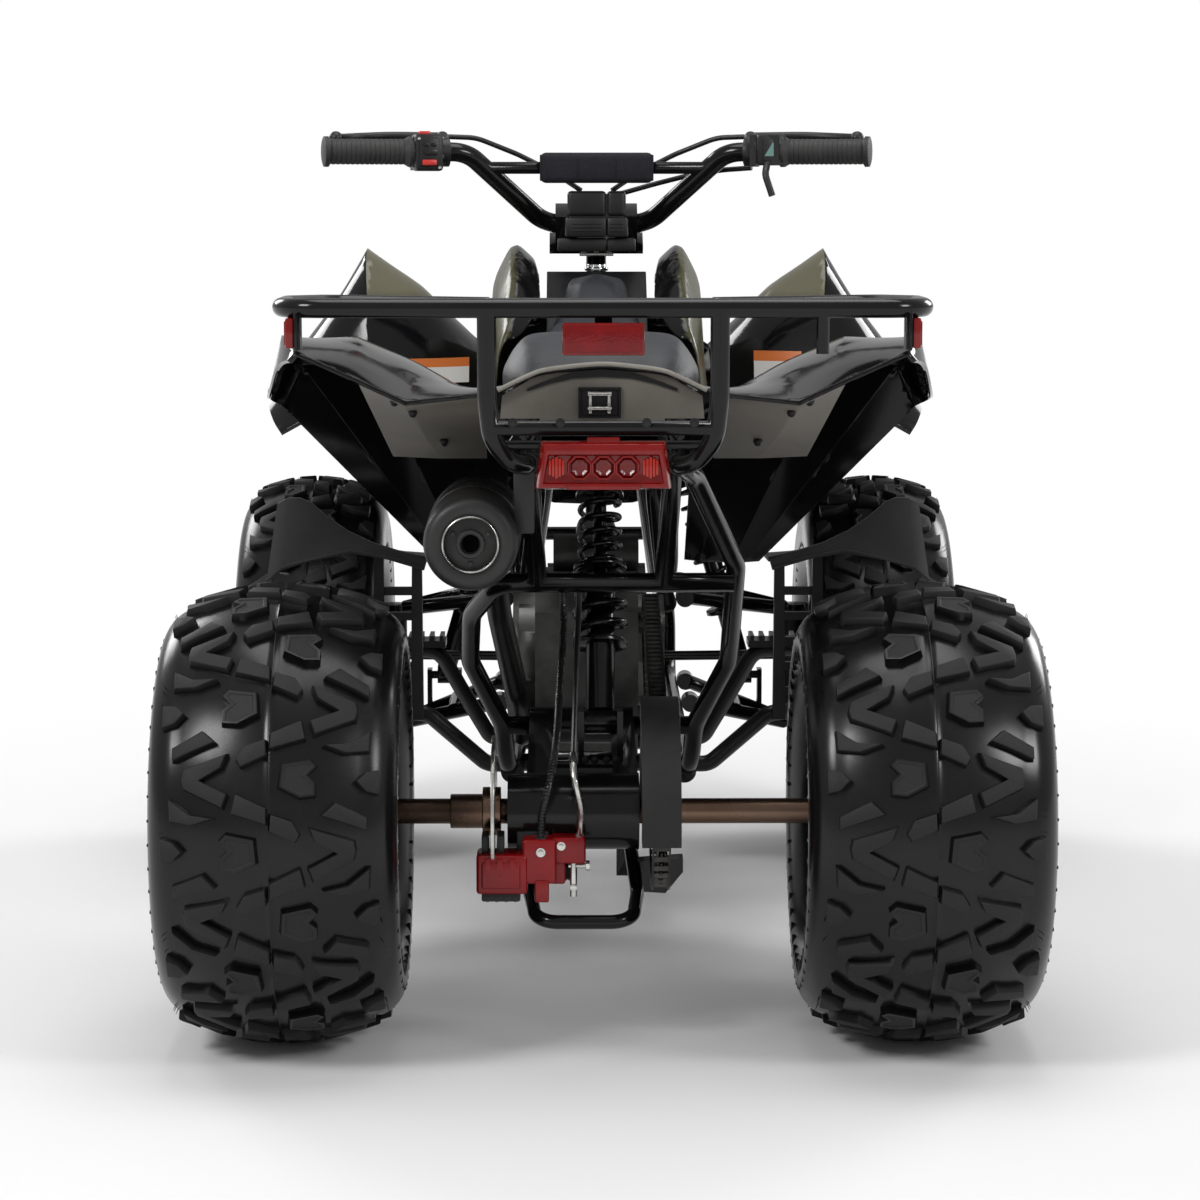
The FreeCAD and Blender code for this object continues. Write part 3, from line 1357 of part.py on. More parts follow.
# Rear rack, lamp and reflectors
def rack():
    r = num("rack_bar_radius")
    half = num("rack_half_width")
    z = num("rack_height")
    y = num("rack_rear_y")
    tail_y = num("tail_y")
    seat_x = num("seat_rail_x")
    seat_z = num("seat_rail_z")
    loop = [(112, -452, z - 6), (270, -500, z - 2), (half, -600, z), (half, y, z)]
    pieces = [tube(loop + list(reversed(flip(loop))), r, 40)]
    pieces.append(rod((-half + 6, -580, z - 1), (half - 6, -580, z - 1), r - 2))
    for side in (-1, 1):
        post = [(seat_x, tail_y - 0.3, seat_z), (seat_x, tail_y - 18, seat_z),
                (seat_x + 14, tail_y - 40, seat_z + 4),
                (104, y + 6, seat_z + 28), (108, y, seat_z + 66), (108, y, z)]
        rail = [(108, y, z), (110, -580, z - 1), (112, -452, z - 6)]
        if side == -1:
            post, rail = flip(post), flip(rail)
        pieces.append(tube(post, r, 40))
        pieces.append(tube(rail, r - 2, 40))
        pieces.append(Part.makeBox(6, 22, 36, Vec(side * 283 - 3, y - 2, z - 38)))
    pieces.append(rod((-106, y + 3, 622), (106, y + 3, 622), 7))
    pieces.append(rod((-100, y + 12, 606), (100, y + 12, 606), 4))
    pieces.append(rod((203, y, z), (203, y, z - 42), 6))
    pieces.append(Part.makeBox(16, 3, 40, Vec(-8, y - 4, z - 43)))
    return feature("rack", joined(pieces))


nodes["rack"] = rack()


def tail_light():
    y = num("rack_rear_y")
    lens = Part.makeLoft([
        Part.makePolygon([Vec(-60, y - 8, 611), Vec(60, y - 8, 611), Vec(66, y - 8, 566),
                          Vec(-66, y - 8, 566), Vec(-60, y - 8, 611)]),
        Part.makePolygon([Vec(-54, y - 26, 606), Vec(54, y - 26, 606), Vec(60, y - 26, 570),
                          Vec(-60, y - 26, 570), Vec(-54, y - 26, 606)])], True, True)
    base = Part.makeBox(124, 10, 42, Vec(-62, y - 8, 568))
    tab = Part.makeBox(30, 12, 8, Vec(-15, y - 6, 606.4))
    return feature("tail_light", joined([lens, base, tab]))


def reflectors():
    y = num("rack_rear_y")
    z = num("rack_height")
    middle = Part.makeBox(76, 9, 30, Vec(-38, y - 13.3, z - 43))
    side = Part.makeBox(9, 24, 28, Vec(286.3, y - 3, z - 37))
    return feature("reflectors", Part.makeCompound([middle, side, mirrored(side)]))


nodes["tail_light"] = tail_light()
nodes["reflectors"] = reflectors()


# Footrests and heel guards
def footrests():
    rail_x = num("rail_x")
    rail_z = num("rail_z")
    r = 9
    out = 252
    seat = rail_x + num("rail_radius") + 0.3
    hoop = [(seat, 84, rail_z), (seat + 16, 84, rail_z), (160, 84, rail_z + 60), (184, 84, 308),
            (out, 84, 312), (out + 6, 20, 300), (out, -100, 268), (190, -100, 262),
            (seat + 16, -100, rail_z), (seat, -100, rail_z)]
    pieces = [tube(hoop, r, 26)]
    pieces.append(Part.makeBox(70, 44, 8, Vec(176, 62, 314)))
    for i in range(6):
        pieces.append(Part.makeBox(5, 44, 6, Vec(178 + i * 12, 62, 322)))
    for x0, top in ((194, 433), (236, 444)):
        pieces.append(slab([(x0, 258), (x0 + 14, 258), (x0 + 12, top), (x0 + 1, top)], -120.7, -108))
    for i in range(5):
        pieces.append(Part.makeBox(44, 8, 9, Vec(197, -118, 285 + i * 28)))
    return feature("footrests", both_sides(joined(pieces)))


def heel_guards():
    """An upright wing behind each footrest, and the sheet that runs forward from its top edge."""
    rise = [(188, 440), (218, 447), (247, 456), (275, 469), (298, 485), (316, 501)]
    peak = [(328, 506), (341, 506), (353, 500)]
    below = [(366, 412), (349, 426), (319, 436), (272, 445), (232, 438), (192, 426)]
    back = -127
    thick = 6
    wing = slab(rise + peak + below, back, back + thick)
    roof_a = [(x, back, z) for x, z in rise]
    roof_b = [(x, -40, z - 4 - (x - rise[0][0]) * 0.16) for x, z in rise]
    roof = ribbon(roof_a, roof_b, (0, 0, -5))
    rim = ribbon([(x, back - 4, z) for x, z in below[::-1]], [(x, back + 1, z) for x, z in below[::-1]],
                 (0, 0, 4))
    return feature("heel_guards", both_sides(joined([wing, roof, rim])))


nodes["footrests"] = footrests()
nodes["heel_guards"] = heel_guards()


# Steering
stem_foot = Vec(0, num("stem_foot_y"), num("stem_foot_z"))
stem_head = Vec(0, num("stem_head_y"), num("stem_head_z"))
stem_way = (stem_head - stem_foot).normalize()
stem_back = Vec(0, -stem_way.z, stem_way.y)
bar_centre = stem_head + stem_way * 20


def steering_stem():
    r = num("stem_radius")
    plate_at = stem_foot + stem_way * 8
    reach = num("steer_arm_length")
    spread = num("steer_eye_spread")
    pieces = [rod(stem_foot - stem_way * 18, stem_head, r)]
    plate = Part.makeBox(2 * spread + 24, reach + 12, 5, Vec(-spread - 12, -reach - 12, 0))
    turn = FreeCAD.Rotation(Vec(0, 0, 1), stem_way)
    plate.Placement = FreeCAD.Placement(plate_at, turn)
    pieces.append(plate)
    for side in (-1, 1):
        eye = plate_at + Vec(side * spread, 0, 0) + stem_back * reach
        pieces.append(rod(eye - stem_way * 16, eye + stem_way * 6, num("tie_stud_radius")))
    crown = Part.makeBox(110, 36, 10, Vec(-55, -18, -10))
    crown.Placement = FreeCAD.Placement(stem_head, turn)
    pieces.append(crown)
    for x in (-48, 22):
        clamp = Part.makeBox(26, 36, 38, Vec(x, -18, 0))
        clamp.Placement = FreeCAD.Placement(stem_head, turn)
        pieces.append(clamp)
    whole = joined(pieces)
    side = handlebar_line()
    bar = tube(side + list(reversed(flip(side))), num("bar_radius") + 0.3, num("bar_bend"))
    return feature("steering_stem", whole.cut(bar))


def handlebar_line():
    half = num("bar_half_span")
    end = (half, num("bar_grip_y"), num("bar_grip_z"))
    rise = (num("bar_rise_x"), num("bar_grip_y") + 38, num("bar_grip_z"))
    low = (num("bar_low_x") + 14, bar_centre.y, bar_centre.z)
    return [end, rise, low]


nodes["steering_stem"] = steering_stem()


def handlebar():
    side = handlebar_line()
    line = side + list(reversed(flip(side)))
    r = num("bar_radius")
    z = num("cross_bar_z")
    rise = side[1]
    low = side[2]
    share = (rise[2] - z) / (rise[2] - low[2])
    x = rise[0] + (low[0] - rise[0]) * share
    y = rise[1] + (low[1] - rise[1]) * share
    pieces = [tube(line, r, num("bar_bend")), rod((-x, y, z), (x, y, z), 7)]
    return feature("handlebar", joined(pieces)), y


nodes["handlebar"], cross_bar_y = handlebar()


def along_grip(distance, side=1):
    end, rise, low = [Vec(*p) for p in handlebar_line()]
    way = (rise - end).normalize()
    point = end + way * distance
    return Vec(point.x * side, point.y, point.z), Vec(way.x * side, way.y, way.z)


def grips():
    pieces = []
    for side in (-1, 1):
        end, way = along_grip(-4, side)
        grip = Part.makeCylinder(num("grip_radius"), num("grip_length") + 4, end, way)
        flange = Part.makeCylinder(num("grip_flange_radius"), 7, end, way)
        inner = Part.makeCylinder(num("grip_flange_radius"), 4, end + way * num("grip_length"), way)
        start, way = along_grip(0, side)
        bore = Part.makeCylinder(num("bar_radius") + 0.3, 200, start - way * 0.3, way)
        pieces.append(joined([grip, flange, inner]).cut(bore))
    return feature("grips", Part.makeCompound(pieces))


nodes["grips"] = grips()


def hand_controls():
    sides = []
    for side in (-1, 1):
        box_at, way = along_grip(num("grip_length") + 20, side)
        turn = FreeCAD.Rotation(Vec(1, 0, 0), way)
        pieces = []
        if side == -1:
            box = Part.makeBox(30, 38, 40, Vec(-15, -19, -21))
        else:
            box = Part.makeBox(34, 38, 34, Vec(-17, -19, -15))
        box.Placement = FreeCAD.Placement(box_at, turn)
        pieces.append(box)
        perch_at, way = along_grip(num("grip_length") + 38, side)
        perch = Part.makeCylinder(num("bar_radius") + 6, 16, perch_at - way * 8, way)
        arm = rod(perch_at, perch_at + Vec(0, 34, 18), 7)
        blade_from = perch_at + Vec(0, 36, 18)
        tip, way = along_grip(4, side)
        blade_to = tip + Vec(0, 44, 16)
        knee = (blade_from + blade_to) * 0.5 + Vec(0, 12, 2)
        pieces += [perch, arm, tube([tuple(blade_from), tuple(knee), tuple(blade_to)], 5, 90),
                   Part.makeSphere(8, blade_to)]
        join = rod(box_at, perch_at, num("bar_radius") + 4)
        pieces.append(join)
        if side == 1:
            pieces.append(tube([tuple(box_at + Vec(0, -14, -8)), tuple(box_at + Vec(-4, -30, -26)),
                                tuple(box_at + Vec(4, -34, -50))], 4, 14))
        whole = joined(pieces)
        start, way = along_grip(-10, side)
        sides.append(whole.cut(Part.makeCylinder(num("bar_radius") + 0.3, 260, start, way)))
    return feature("hand_controls", Part.makeCompound(sides))


nodes["hand_controls"] = hand_controls()


def bar_pad():
    half = num("pad_half_length")
    height = num("pad_height")
    depth = num("pad_depth")
    z = num("cross_bar_z")
    pad = Part.makeBox(half * 2, depth, height, Vec(-half, cross_bar_y - depth / 2, z - height / 2))
    pad = pad.makeFillet(8, [e for e in pad.Edges if abs(e.Length - half * 2) < 0.01])
    return feature("bar_pad", pad.cut(rod((-100, cross_bar_y, z), (100, cross_bar_y, z), 7.3)))


nodes["bar_pad"] = bar_pad()


def nacelle():
    back = bar_centre.y - num("bar_radius") - 2
    box = slab([(back - 48, 786), (back - 44, 832), (back - 10, 842), (back, 836), (back, 782)],
               -33, 33, "X")
    cowl = slab([(back - 36, 771), (back - 40, 786), (back, 782), (back, 771)], -46, 46, "X")
    whole = joined([box, cowl])
    return feature("nacelle", clear_of(whole, [nodes["steering_stem"].Shape], (0, -1, 0)))


nodes["nacelle"] = nacelle()


def cable(points):
    return tube(points, num("cable_radius"), 60)


def control_cables():
    left = [(-172, 133, 904), (-140, 142, 903), (-92, 152, 884), (-48, 150, 862), (-18, 140, 842)]
    right = [(172, 133, 904), (140, 142, 903), (92, 152, 884), (48, 150, 862), (18, 140, 842)]
    throttle = [(180, 118, 868), (150, 132, 866), (118, 156, 862), (70, 162, 850), (27, 151, 838)]
    cables = [cable(line) for line in (left, right, throttle)]
    trimmed = []
    for one in cables:
        for other in ("hand_controls", "nacelle", "handlebar"):
            one = one.cut(nodes[other].Shape)
        trimmed.append(max(one.Solids, key=lambda solid: solid.Volume))
    return feature("control_cables", Part.makeCompound(trimmed))


nodes["control_cables"] = control_cables()


def brake_lines():
    """Two hoses from under the frame's cross bar, behind the axle, to the caliper."""
    y = num("rear_cross_y")
    z = num("rear_cross_z") - num("strut_radius") - num("seat_gap")
    outer = [(-38, y, z), (-38, y, z - 16), (-38, y - 25, z - 44), (-42, rear_y + 41, rear_z + 116),
             (-44, rear_y - 29, rear_z + 76), (-52, rear_y - 69, rear_z + 33),
             (-60, rear_y - 67, rear_z + 7), (-60, rear_y - 55, rear_z - 15.7)]
    inner = [(-22, y, z), (-22, y, z - 16), (-24, y - 31, z - 48), (-26, rear_y + 31, rear_z + 111),
             (-27, rear_y - 34, rear_z + 79), (-28, rear_y - 71, rear_z + 39),
             (-28, rear_y - 57, rear_z - 1), (-28.5, rear_y - 43, rear_z - 27.7)]
    caliper = nodes["brake_caliper"].Shape
    lines = [max(cable(line).cut(caliper).Solids, key=lambda solid: solid.Volume)
             for line in (outer, inner)]
    return feature("brake_lines", Part.makeCompound(lines))


nodes["brake_lines"] = brake_lines()


def tie_rod(word, side):
    inner_at = stem_foot + stem_way * 8 + stem_back * num("steer_arm_length") - stem_way * 7.3
    inner_at = inner_at + Vec(num("steer_eye_spread"), 0, 0)
    outer_at = Vec(num("kingpin_x") + num("steer_eye_spread"), front_y - num("steer_arm_length"),
                   front_z + 18)
    way = (outer_at - inner_at).normalize()
    eye = num("tie_eye_radius")
    pieces = [rod(inner_at + way * 5, outer_at - way * 8, num("tie_rod_radius"))]
    pieces.append(rod(inner_at - stem_way * 6, inner_at + stem_way * 6, eye))
    pieces.append(Part.makeCylinder(eye + 2, 10, outer_at - Vec(0, 0, 5)))
    whole = joined(pieces)
    stud = num("tie_stud_radius")
    whole = whole.cut(rod(inner_at - stem_way * 30, inner_at + stem_way * 30, stud + 0.2))
    whole = whole.cut(Part.makeCylinder(stud + 3, 60, outer_at - Vec(0, 0, 30)))
    return feature(f"tie_rod_{word}", whole if side == 1 else mirrored(whole))


for side, word in ((-1, "left"), (1, "right")):
    nodes[f"tie_rod_{word}"] = tie_rod(word, side)

doc.recompute()
for item in doc.Objects:
    if "Invalid" in item.State or "Error" in item.State:
        raise SystemExit(f"{item.Name} did not build")
for name, node in nodes.items():
    shape = node.Shape
    if shape.isNull() or not shape.isValid():
        raise SystemExit(f"{name} is not a sound solid")
    print(name, len(shape.Solids), round(shape.Volume))
    shape.exportStep(f"parts/{name}.step")
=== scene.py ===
import json
import math
import random

import bmesh
import bpy
from mathutils import Matrix, Vector
from mathutils.bvhtree import BVHTree


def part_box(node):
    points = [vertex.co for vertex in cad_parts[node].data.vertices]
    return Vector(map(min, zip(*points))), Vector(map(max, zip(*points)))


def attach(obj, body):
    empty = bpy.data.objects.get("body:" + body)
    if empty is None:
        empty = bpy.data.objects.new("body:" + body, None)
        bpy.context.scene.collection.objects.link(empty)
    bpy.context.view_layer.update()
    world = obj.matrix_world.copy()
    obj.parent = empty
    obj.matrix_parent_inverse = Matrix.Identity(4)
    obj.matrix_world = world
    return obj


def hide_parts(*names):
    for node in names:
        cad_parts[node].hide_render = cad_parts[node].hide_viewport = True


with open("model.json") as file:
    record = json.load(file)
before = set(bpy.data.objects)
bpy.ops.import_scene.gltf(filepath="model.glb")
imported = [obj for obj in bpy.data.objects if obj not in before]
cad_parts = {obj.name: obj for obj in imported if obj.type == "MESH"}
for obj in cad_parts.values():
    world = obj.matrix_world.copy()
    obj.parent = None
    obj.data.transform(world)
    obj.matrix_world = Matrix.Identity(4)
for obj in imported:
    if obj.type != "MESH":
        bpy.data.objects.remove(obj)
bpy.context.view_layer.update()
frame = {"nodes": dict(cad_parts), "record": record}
nodeBody = {node: body for body, nodes in frame["record"]["behaviour"]["bodies"].items() for node in nodes}
nodeSlot = {row["node"]: row["material_slot"] for row in frame["record"]["subparts"]}
mm = 0.001
print("frame loaded")


# camera, lamps and floor
stageLook = {
    "cameraAt": (-0.0303, -3.821, 0.8374),
    "pitch": 0.1198,
    "yaw": 0.0087,
    "lens": 101.07,
    "sensor": 36,
    "sightEnd": 200,
    "paper": (1, 1, 1, 1),
    "floorPaint": (0.8, 0.8, 0.8, 1),
    "roomLight": 0.34,
    "glossShare": 0.17,
    "floorRadius": 30.0,
    "floorSides": 96,
    "fadeFrom": 1.0,
    "fadeTo": 2.0,
    # place, size, watts, what it looks at
    "lamps": [
        ((-2.3, -2.5, 2.7), 1.0, 62, (0, -0.3, 0.4)),
        ((2.5, -2.3, 2.1), 0.9, 38, (0, -0.3, 0.4)),
        ((0.1, -0.2, 3.3), 2.0, 46, (0, 0, 0.4)),
        ((-2.4, 2.5, 2.2), 1.4, 50, (0, 0.2, 0.4)),
        ((2.6, 2.1, 1.8), 1.2, 42, (0, 0.2, 0.4)),
    ],
}


def makeNode(nodes, kind, inputs=None, **settings):
    node = nodes.new("ShaderNode" + kind)
    for name, value in settings.items():
        setattr(node, name, value)
    for socket, value in (inputs or {}).items():
        node.inputs[socket].default_value = value
    return node


def wire(tree, *pairs):
    for source, target in pairs:
        tree.links.new(source, target)


def aim(thing, at, way):
    thing.location = at
    thing.rotation_mode = "QUATERNION"
    thing.rotation_quaternion = way.to_track_quat("-Z", "Y")
    bpy.context.scene.collection.objects.link(thing)


def makeCameraAndLamps():
    pitch, yaw = stageLook["pitch"], stageLook["yaw"]
    ahead = Vector((math.sin(yaw) * math.cos(pitch), math.cos(yaw) * math.cos(pitch), -math.sin(pitch)))
    camera = bpy.data.objects.new("photoCamera", bpy.data.cameras.new("photoCamera"))
    aim(camera, stageLook["cameraAt"], ahead)
    camera.data.lens = stageLook["lens"]
    camera.data.sensor_width = stageLook["sensor"]
    camera.data.clip_end = stageLook["sightEnd"]
    bpy.context.scene.camera = camera
    for i, (at, size, watts, target) in enumerate(stageLook["lamps"]):
        light = bpy.data.lights.new(f"softLamp{i}", "AREA")
        light.shape = "SQUARE"
        light.size = size
        light.energy = watts
        aim(bpy.data.objects.new(f"softLamp{i}", light), at, Vector(target) - Vector(at))


def makeRoom():
    world = bpy.data.worlds.new("paleRoom")
    bpy.context.scene.world = world
    world.use_nodes = True
    nodes = world.node_tree.nodes
    nodes.clear()
    out = makeNode(nodes, "OutputWorld")
    seen = makeNode(nodes, "Background", {"Color": stageLook["paper"], "Strength": 1.0})
    lit = makeNode(nodes, "Background", {"Color": (1, 1, 1, 1), "Strength": stageLook["roomLight"]})
    path = makeNode(nodes, "LightPath")
    gloss = makeNode(nodes, "Math", {1: stageLook["glossShare"]}, operation="MULTIPLY_ADD")
    total = makeNode(nodes, "Math", operation="ADD", use_clamp=True)
    mix = makeNode(nodes, "MixShader")
    wire(world.node_tree,
         (path.outputs["Is Glossy Ray"], gloss.inputs[0]), (path.outputs["Is Transmission Ray"], gloss.inputs[2]),
         (gloss.outputs[0], total.inputs[0]), (path.outputs["Is Camera Ray"], total.inputs[1]),
         (total.outputs[0], mix.inputs["Fac"]), (lit.outputs[0], mix.inputs[1]), (seen.outputs[0], mix.inputs[2]),
         (mix.outputs[0], out.inputs["Surface"]))


def makeFloor():
    bm = bmesh.new()
    bmesh.ops.create_circle(bm, cap_ends=True, segments=stageLook["floorSides"], radius=stageLook["floorRadius"])
    mesh = bpy.data.meshes.new("floor")
    bm.to_mesh(mesh)
    bm.free()
    floor = bpy.data.objects.new("floor", mesh)
    bpy.context.scene.collection.objects.link(floor)
    paint = bpy.data.materials.new("palePaper")
    paint.use_nodes = True
    nodes = paint.node_tree.nodes
    nodes.clear()
    out = makeNode(nodes, "OutputMaterial")
    matte = makeNode(nodes, "BsdfDiffuse", {"Color": stageLook["floorPaint"]})
    glow = makeNode(nodes, "Emission", {"Color": stageLook["paper"], "Strength": 1.0})
    where = makeNode(nodes, "TexCoord")
    far = makeNode(nodes, "VectorMath", operation="LENGTH")
    fade = makeNode(nodes, "MapRange", {"From Min": stageLook["fadeFrom"], "From Max": stageLook["fadeTo"]},
                    interpolation_type="SMOOTHSTEP")
    mix = makeNode(nodes, "MixShader")
    wire(paint.node_tree,
         (where.outputs["Object"], far.inputs[0]), (far.outputs["Value"], fade.inputs["Value"]),
         (fade.outputs[0], mix.inputs["Fac"]), (matte.outputs[0], mix.inputs[1]), (glow.outputs[0], mix.inputs[2]),
         (mix.outputs[0], out.inputs["Surface"]))
    mesh.materials.append(paint)


makeCameraAndLamps()
makeRoom()
makeFloor()
bpy.context.scene.view_settings.view_transform = "Standard"
print("camera, lamps and floor")


# finishes
grainLook = {
    "mottleDetail": 6,
    "mottleRough": 0.6,
    "toneAt": (0.35, 0.75),  # where the cloud has the first and the second colour
    "glossAt": (0.3, 0.7),
    "coatRough": 0.05,
    "dustColour": (0.2, 0.185, 0.165, 1),
    "dustFrom": 0.3,  # how far up a face looks before dust lies on it
    "dustScale": 30,
    "dustDetail": 8,
    "sunkBump": 0.06,  # grain where a raised mark is absent
}


def srgb(r, g, b):
    return tuple(((c / 255 + 0.055) / 1.055) ** 2.4 if c > 10 else c / 255 / 12.92 for c in (r, g, b))


def makeFinish(name, colour, second, rough=0.4, metal=0.0, mottle=8.0, roughSpread=0.06, bump=0.0, bumpScale=300.0,
               bumpDepth=0.0003, coat=0.0, specular=0.4, dust=0.0, stretch=(1, 1, 1), raised=None, cells=False):
    material = bpy.data.materials.new(name)
    material.use_nodes = True
    tree = material.node_tree
    nodes = tree.nodes
    shader = nodes["Principled BSDF"]
    shader.inputs["Metallic"].default_value = metal
    shader.inputs["Specular IOR Level"].default_value = specular
    if coat:
        shader.inputs["Coat Weight"].default_value = coat
        shader.inputs["Coat Roughness"].default_value = grainLook["coatRough"]
    where = makeNode(nodes, "TexCoord")
    spread = makeNode(nodes, "Mapping", {"Scale": stretch})
    cloud = makeNode(nodes, "TexNoise", {  # broad unevenness of colour and gloss
        "Scale": mottle, "Detail": grainLook["mottleDetail"], "Roughness": grainLook["mottleRough"]})
    tone = makeNode(nodes, "ValToRGB")
    for element, at, shade in zip(tone.color_ramp.elements, grainLook["toneAt"], (colour, second)):
        element.position = at
        element.color = (*srgb(*shade), 1)
    low, high = grainLook["glossAt"]
    smoothest, roughest = max(rough - roughSpread / 2, 0.02), min(rough + roughSpread / 2, 1.0)
    gloss = makeNode(nodes, "MapRange", {"From Min": low, "From Max": high, "To Min": smoothest, "To Max": roughest})
    wire(tree, (where.outputs["Object"], spread.inputs["Vector"]), (spread.outputs[0], cloud.inputs["Vector"]),
         (cloud.outputs["Fac"], tone.inputs["Fac"]), (cloud.outputs["Fac"], gloss.inputs["Value"]))
    baseColour, roughness = tone.outputs["Color"], gloss.outputs[0]
    if dust:  # what lies on faces that look up
        facing = makeNode(nodes, "NewGeometry")
        split = makeNode(nodes, "SeparateXYZ")
        up = makeNode(nodes, "MapRange", {"From Min": grainLook["dustFrom"], "From Max": 1.0, "To Max": dust})
        patch = makeNode(nodes, "TexNoise", {"Scale": grainLook["dustScale"], "Detail": grainLook["dustDetail"]})
        amount = makeNode(nodes, "Math", operation="MULTIPLY")
        dusty = makeNode(nodes, "Mix", {7: grainLook["dustColour"]}, data_type="RGBA")
        wire(tree, (facing.outputs["Normal"], split.inputs[0]), (split.outputs["Z"], up.inputs["Value"]),
             (where.outputs["Object"], patch.inputs["Vector"]), (up.outputs[0], amount.inputs[0]),
             (patch.outputs["Fac"], amount.inputs[1]), (amount.outputs[0], dusty.inputs[0]),
             (baseColour, dusty.inputs[6]))
        baseColour = dusty.outputs[2]
    if raised:  # another colour and grain where the piece's own attribute says so
        mark = makeNode(nodes, "Attribute", attribute_name=raised["attribute"])
        both = makeNode(nodes, "Mix", {7: (*srgb(*raised["colour"]), 1)}, data_type="RGBA")
        dull = makeNode(nodes, "Mix", {3: raised["rough"]})
        wire(tree, (mark.outputs["Fac"], both.inputs[0]), (baseColour, both.inputs[6]),
             (mark.outputs["Fac"], dull.inputs[0]), (roughness, dull.inputs[2]))
        baseColour, roughness = both.outputs[2], dull.outputs[0]
    wire(tree, (roughness, shader.inputs["Roughness"]), (baseColour, shader.inputs["Base Color"]))
    if bump:
        grain = makeNode(nodes, "TexVoronoi" if cells else "TexNoise", {"Scale": bumpScale})
        relief = makeNode(nodes, "Bump", {"Strength": bump, "Distance": bumpDepth})
        wire(tree, (spread.outputs[0], grain.inputs["Vector"]),
             (grain.outputs["Distance" if cells else "Fac"], relief.inputs["Height"]),
             (relief.outputs[0], shader.inputs["Normal"]))
        if raised:
            force = makeNode(nodes, "MapRange", {"To Min": grainLook["sunkBump"], "To Max": bump})
            wire(tree, (mark.outputs["Fac"], force.inputs["Value"]), (force.outputs[0], relief.inputs["Strength"]))
    return material


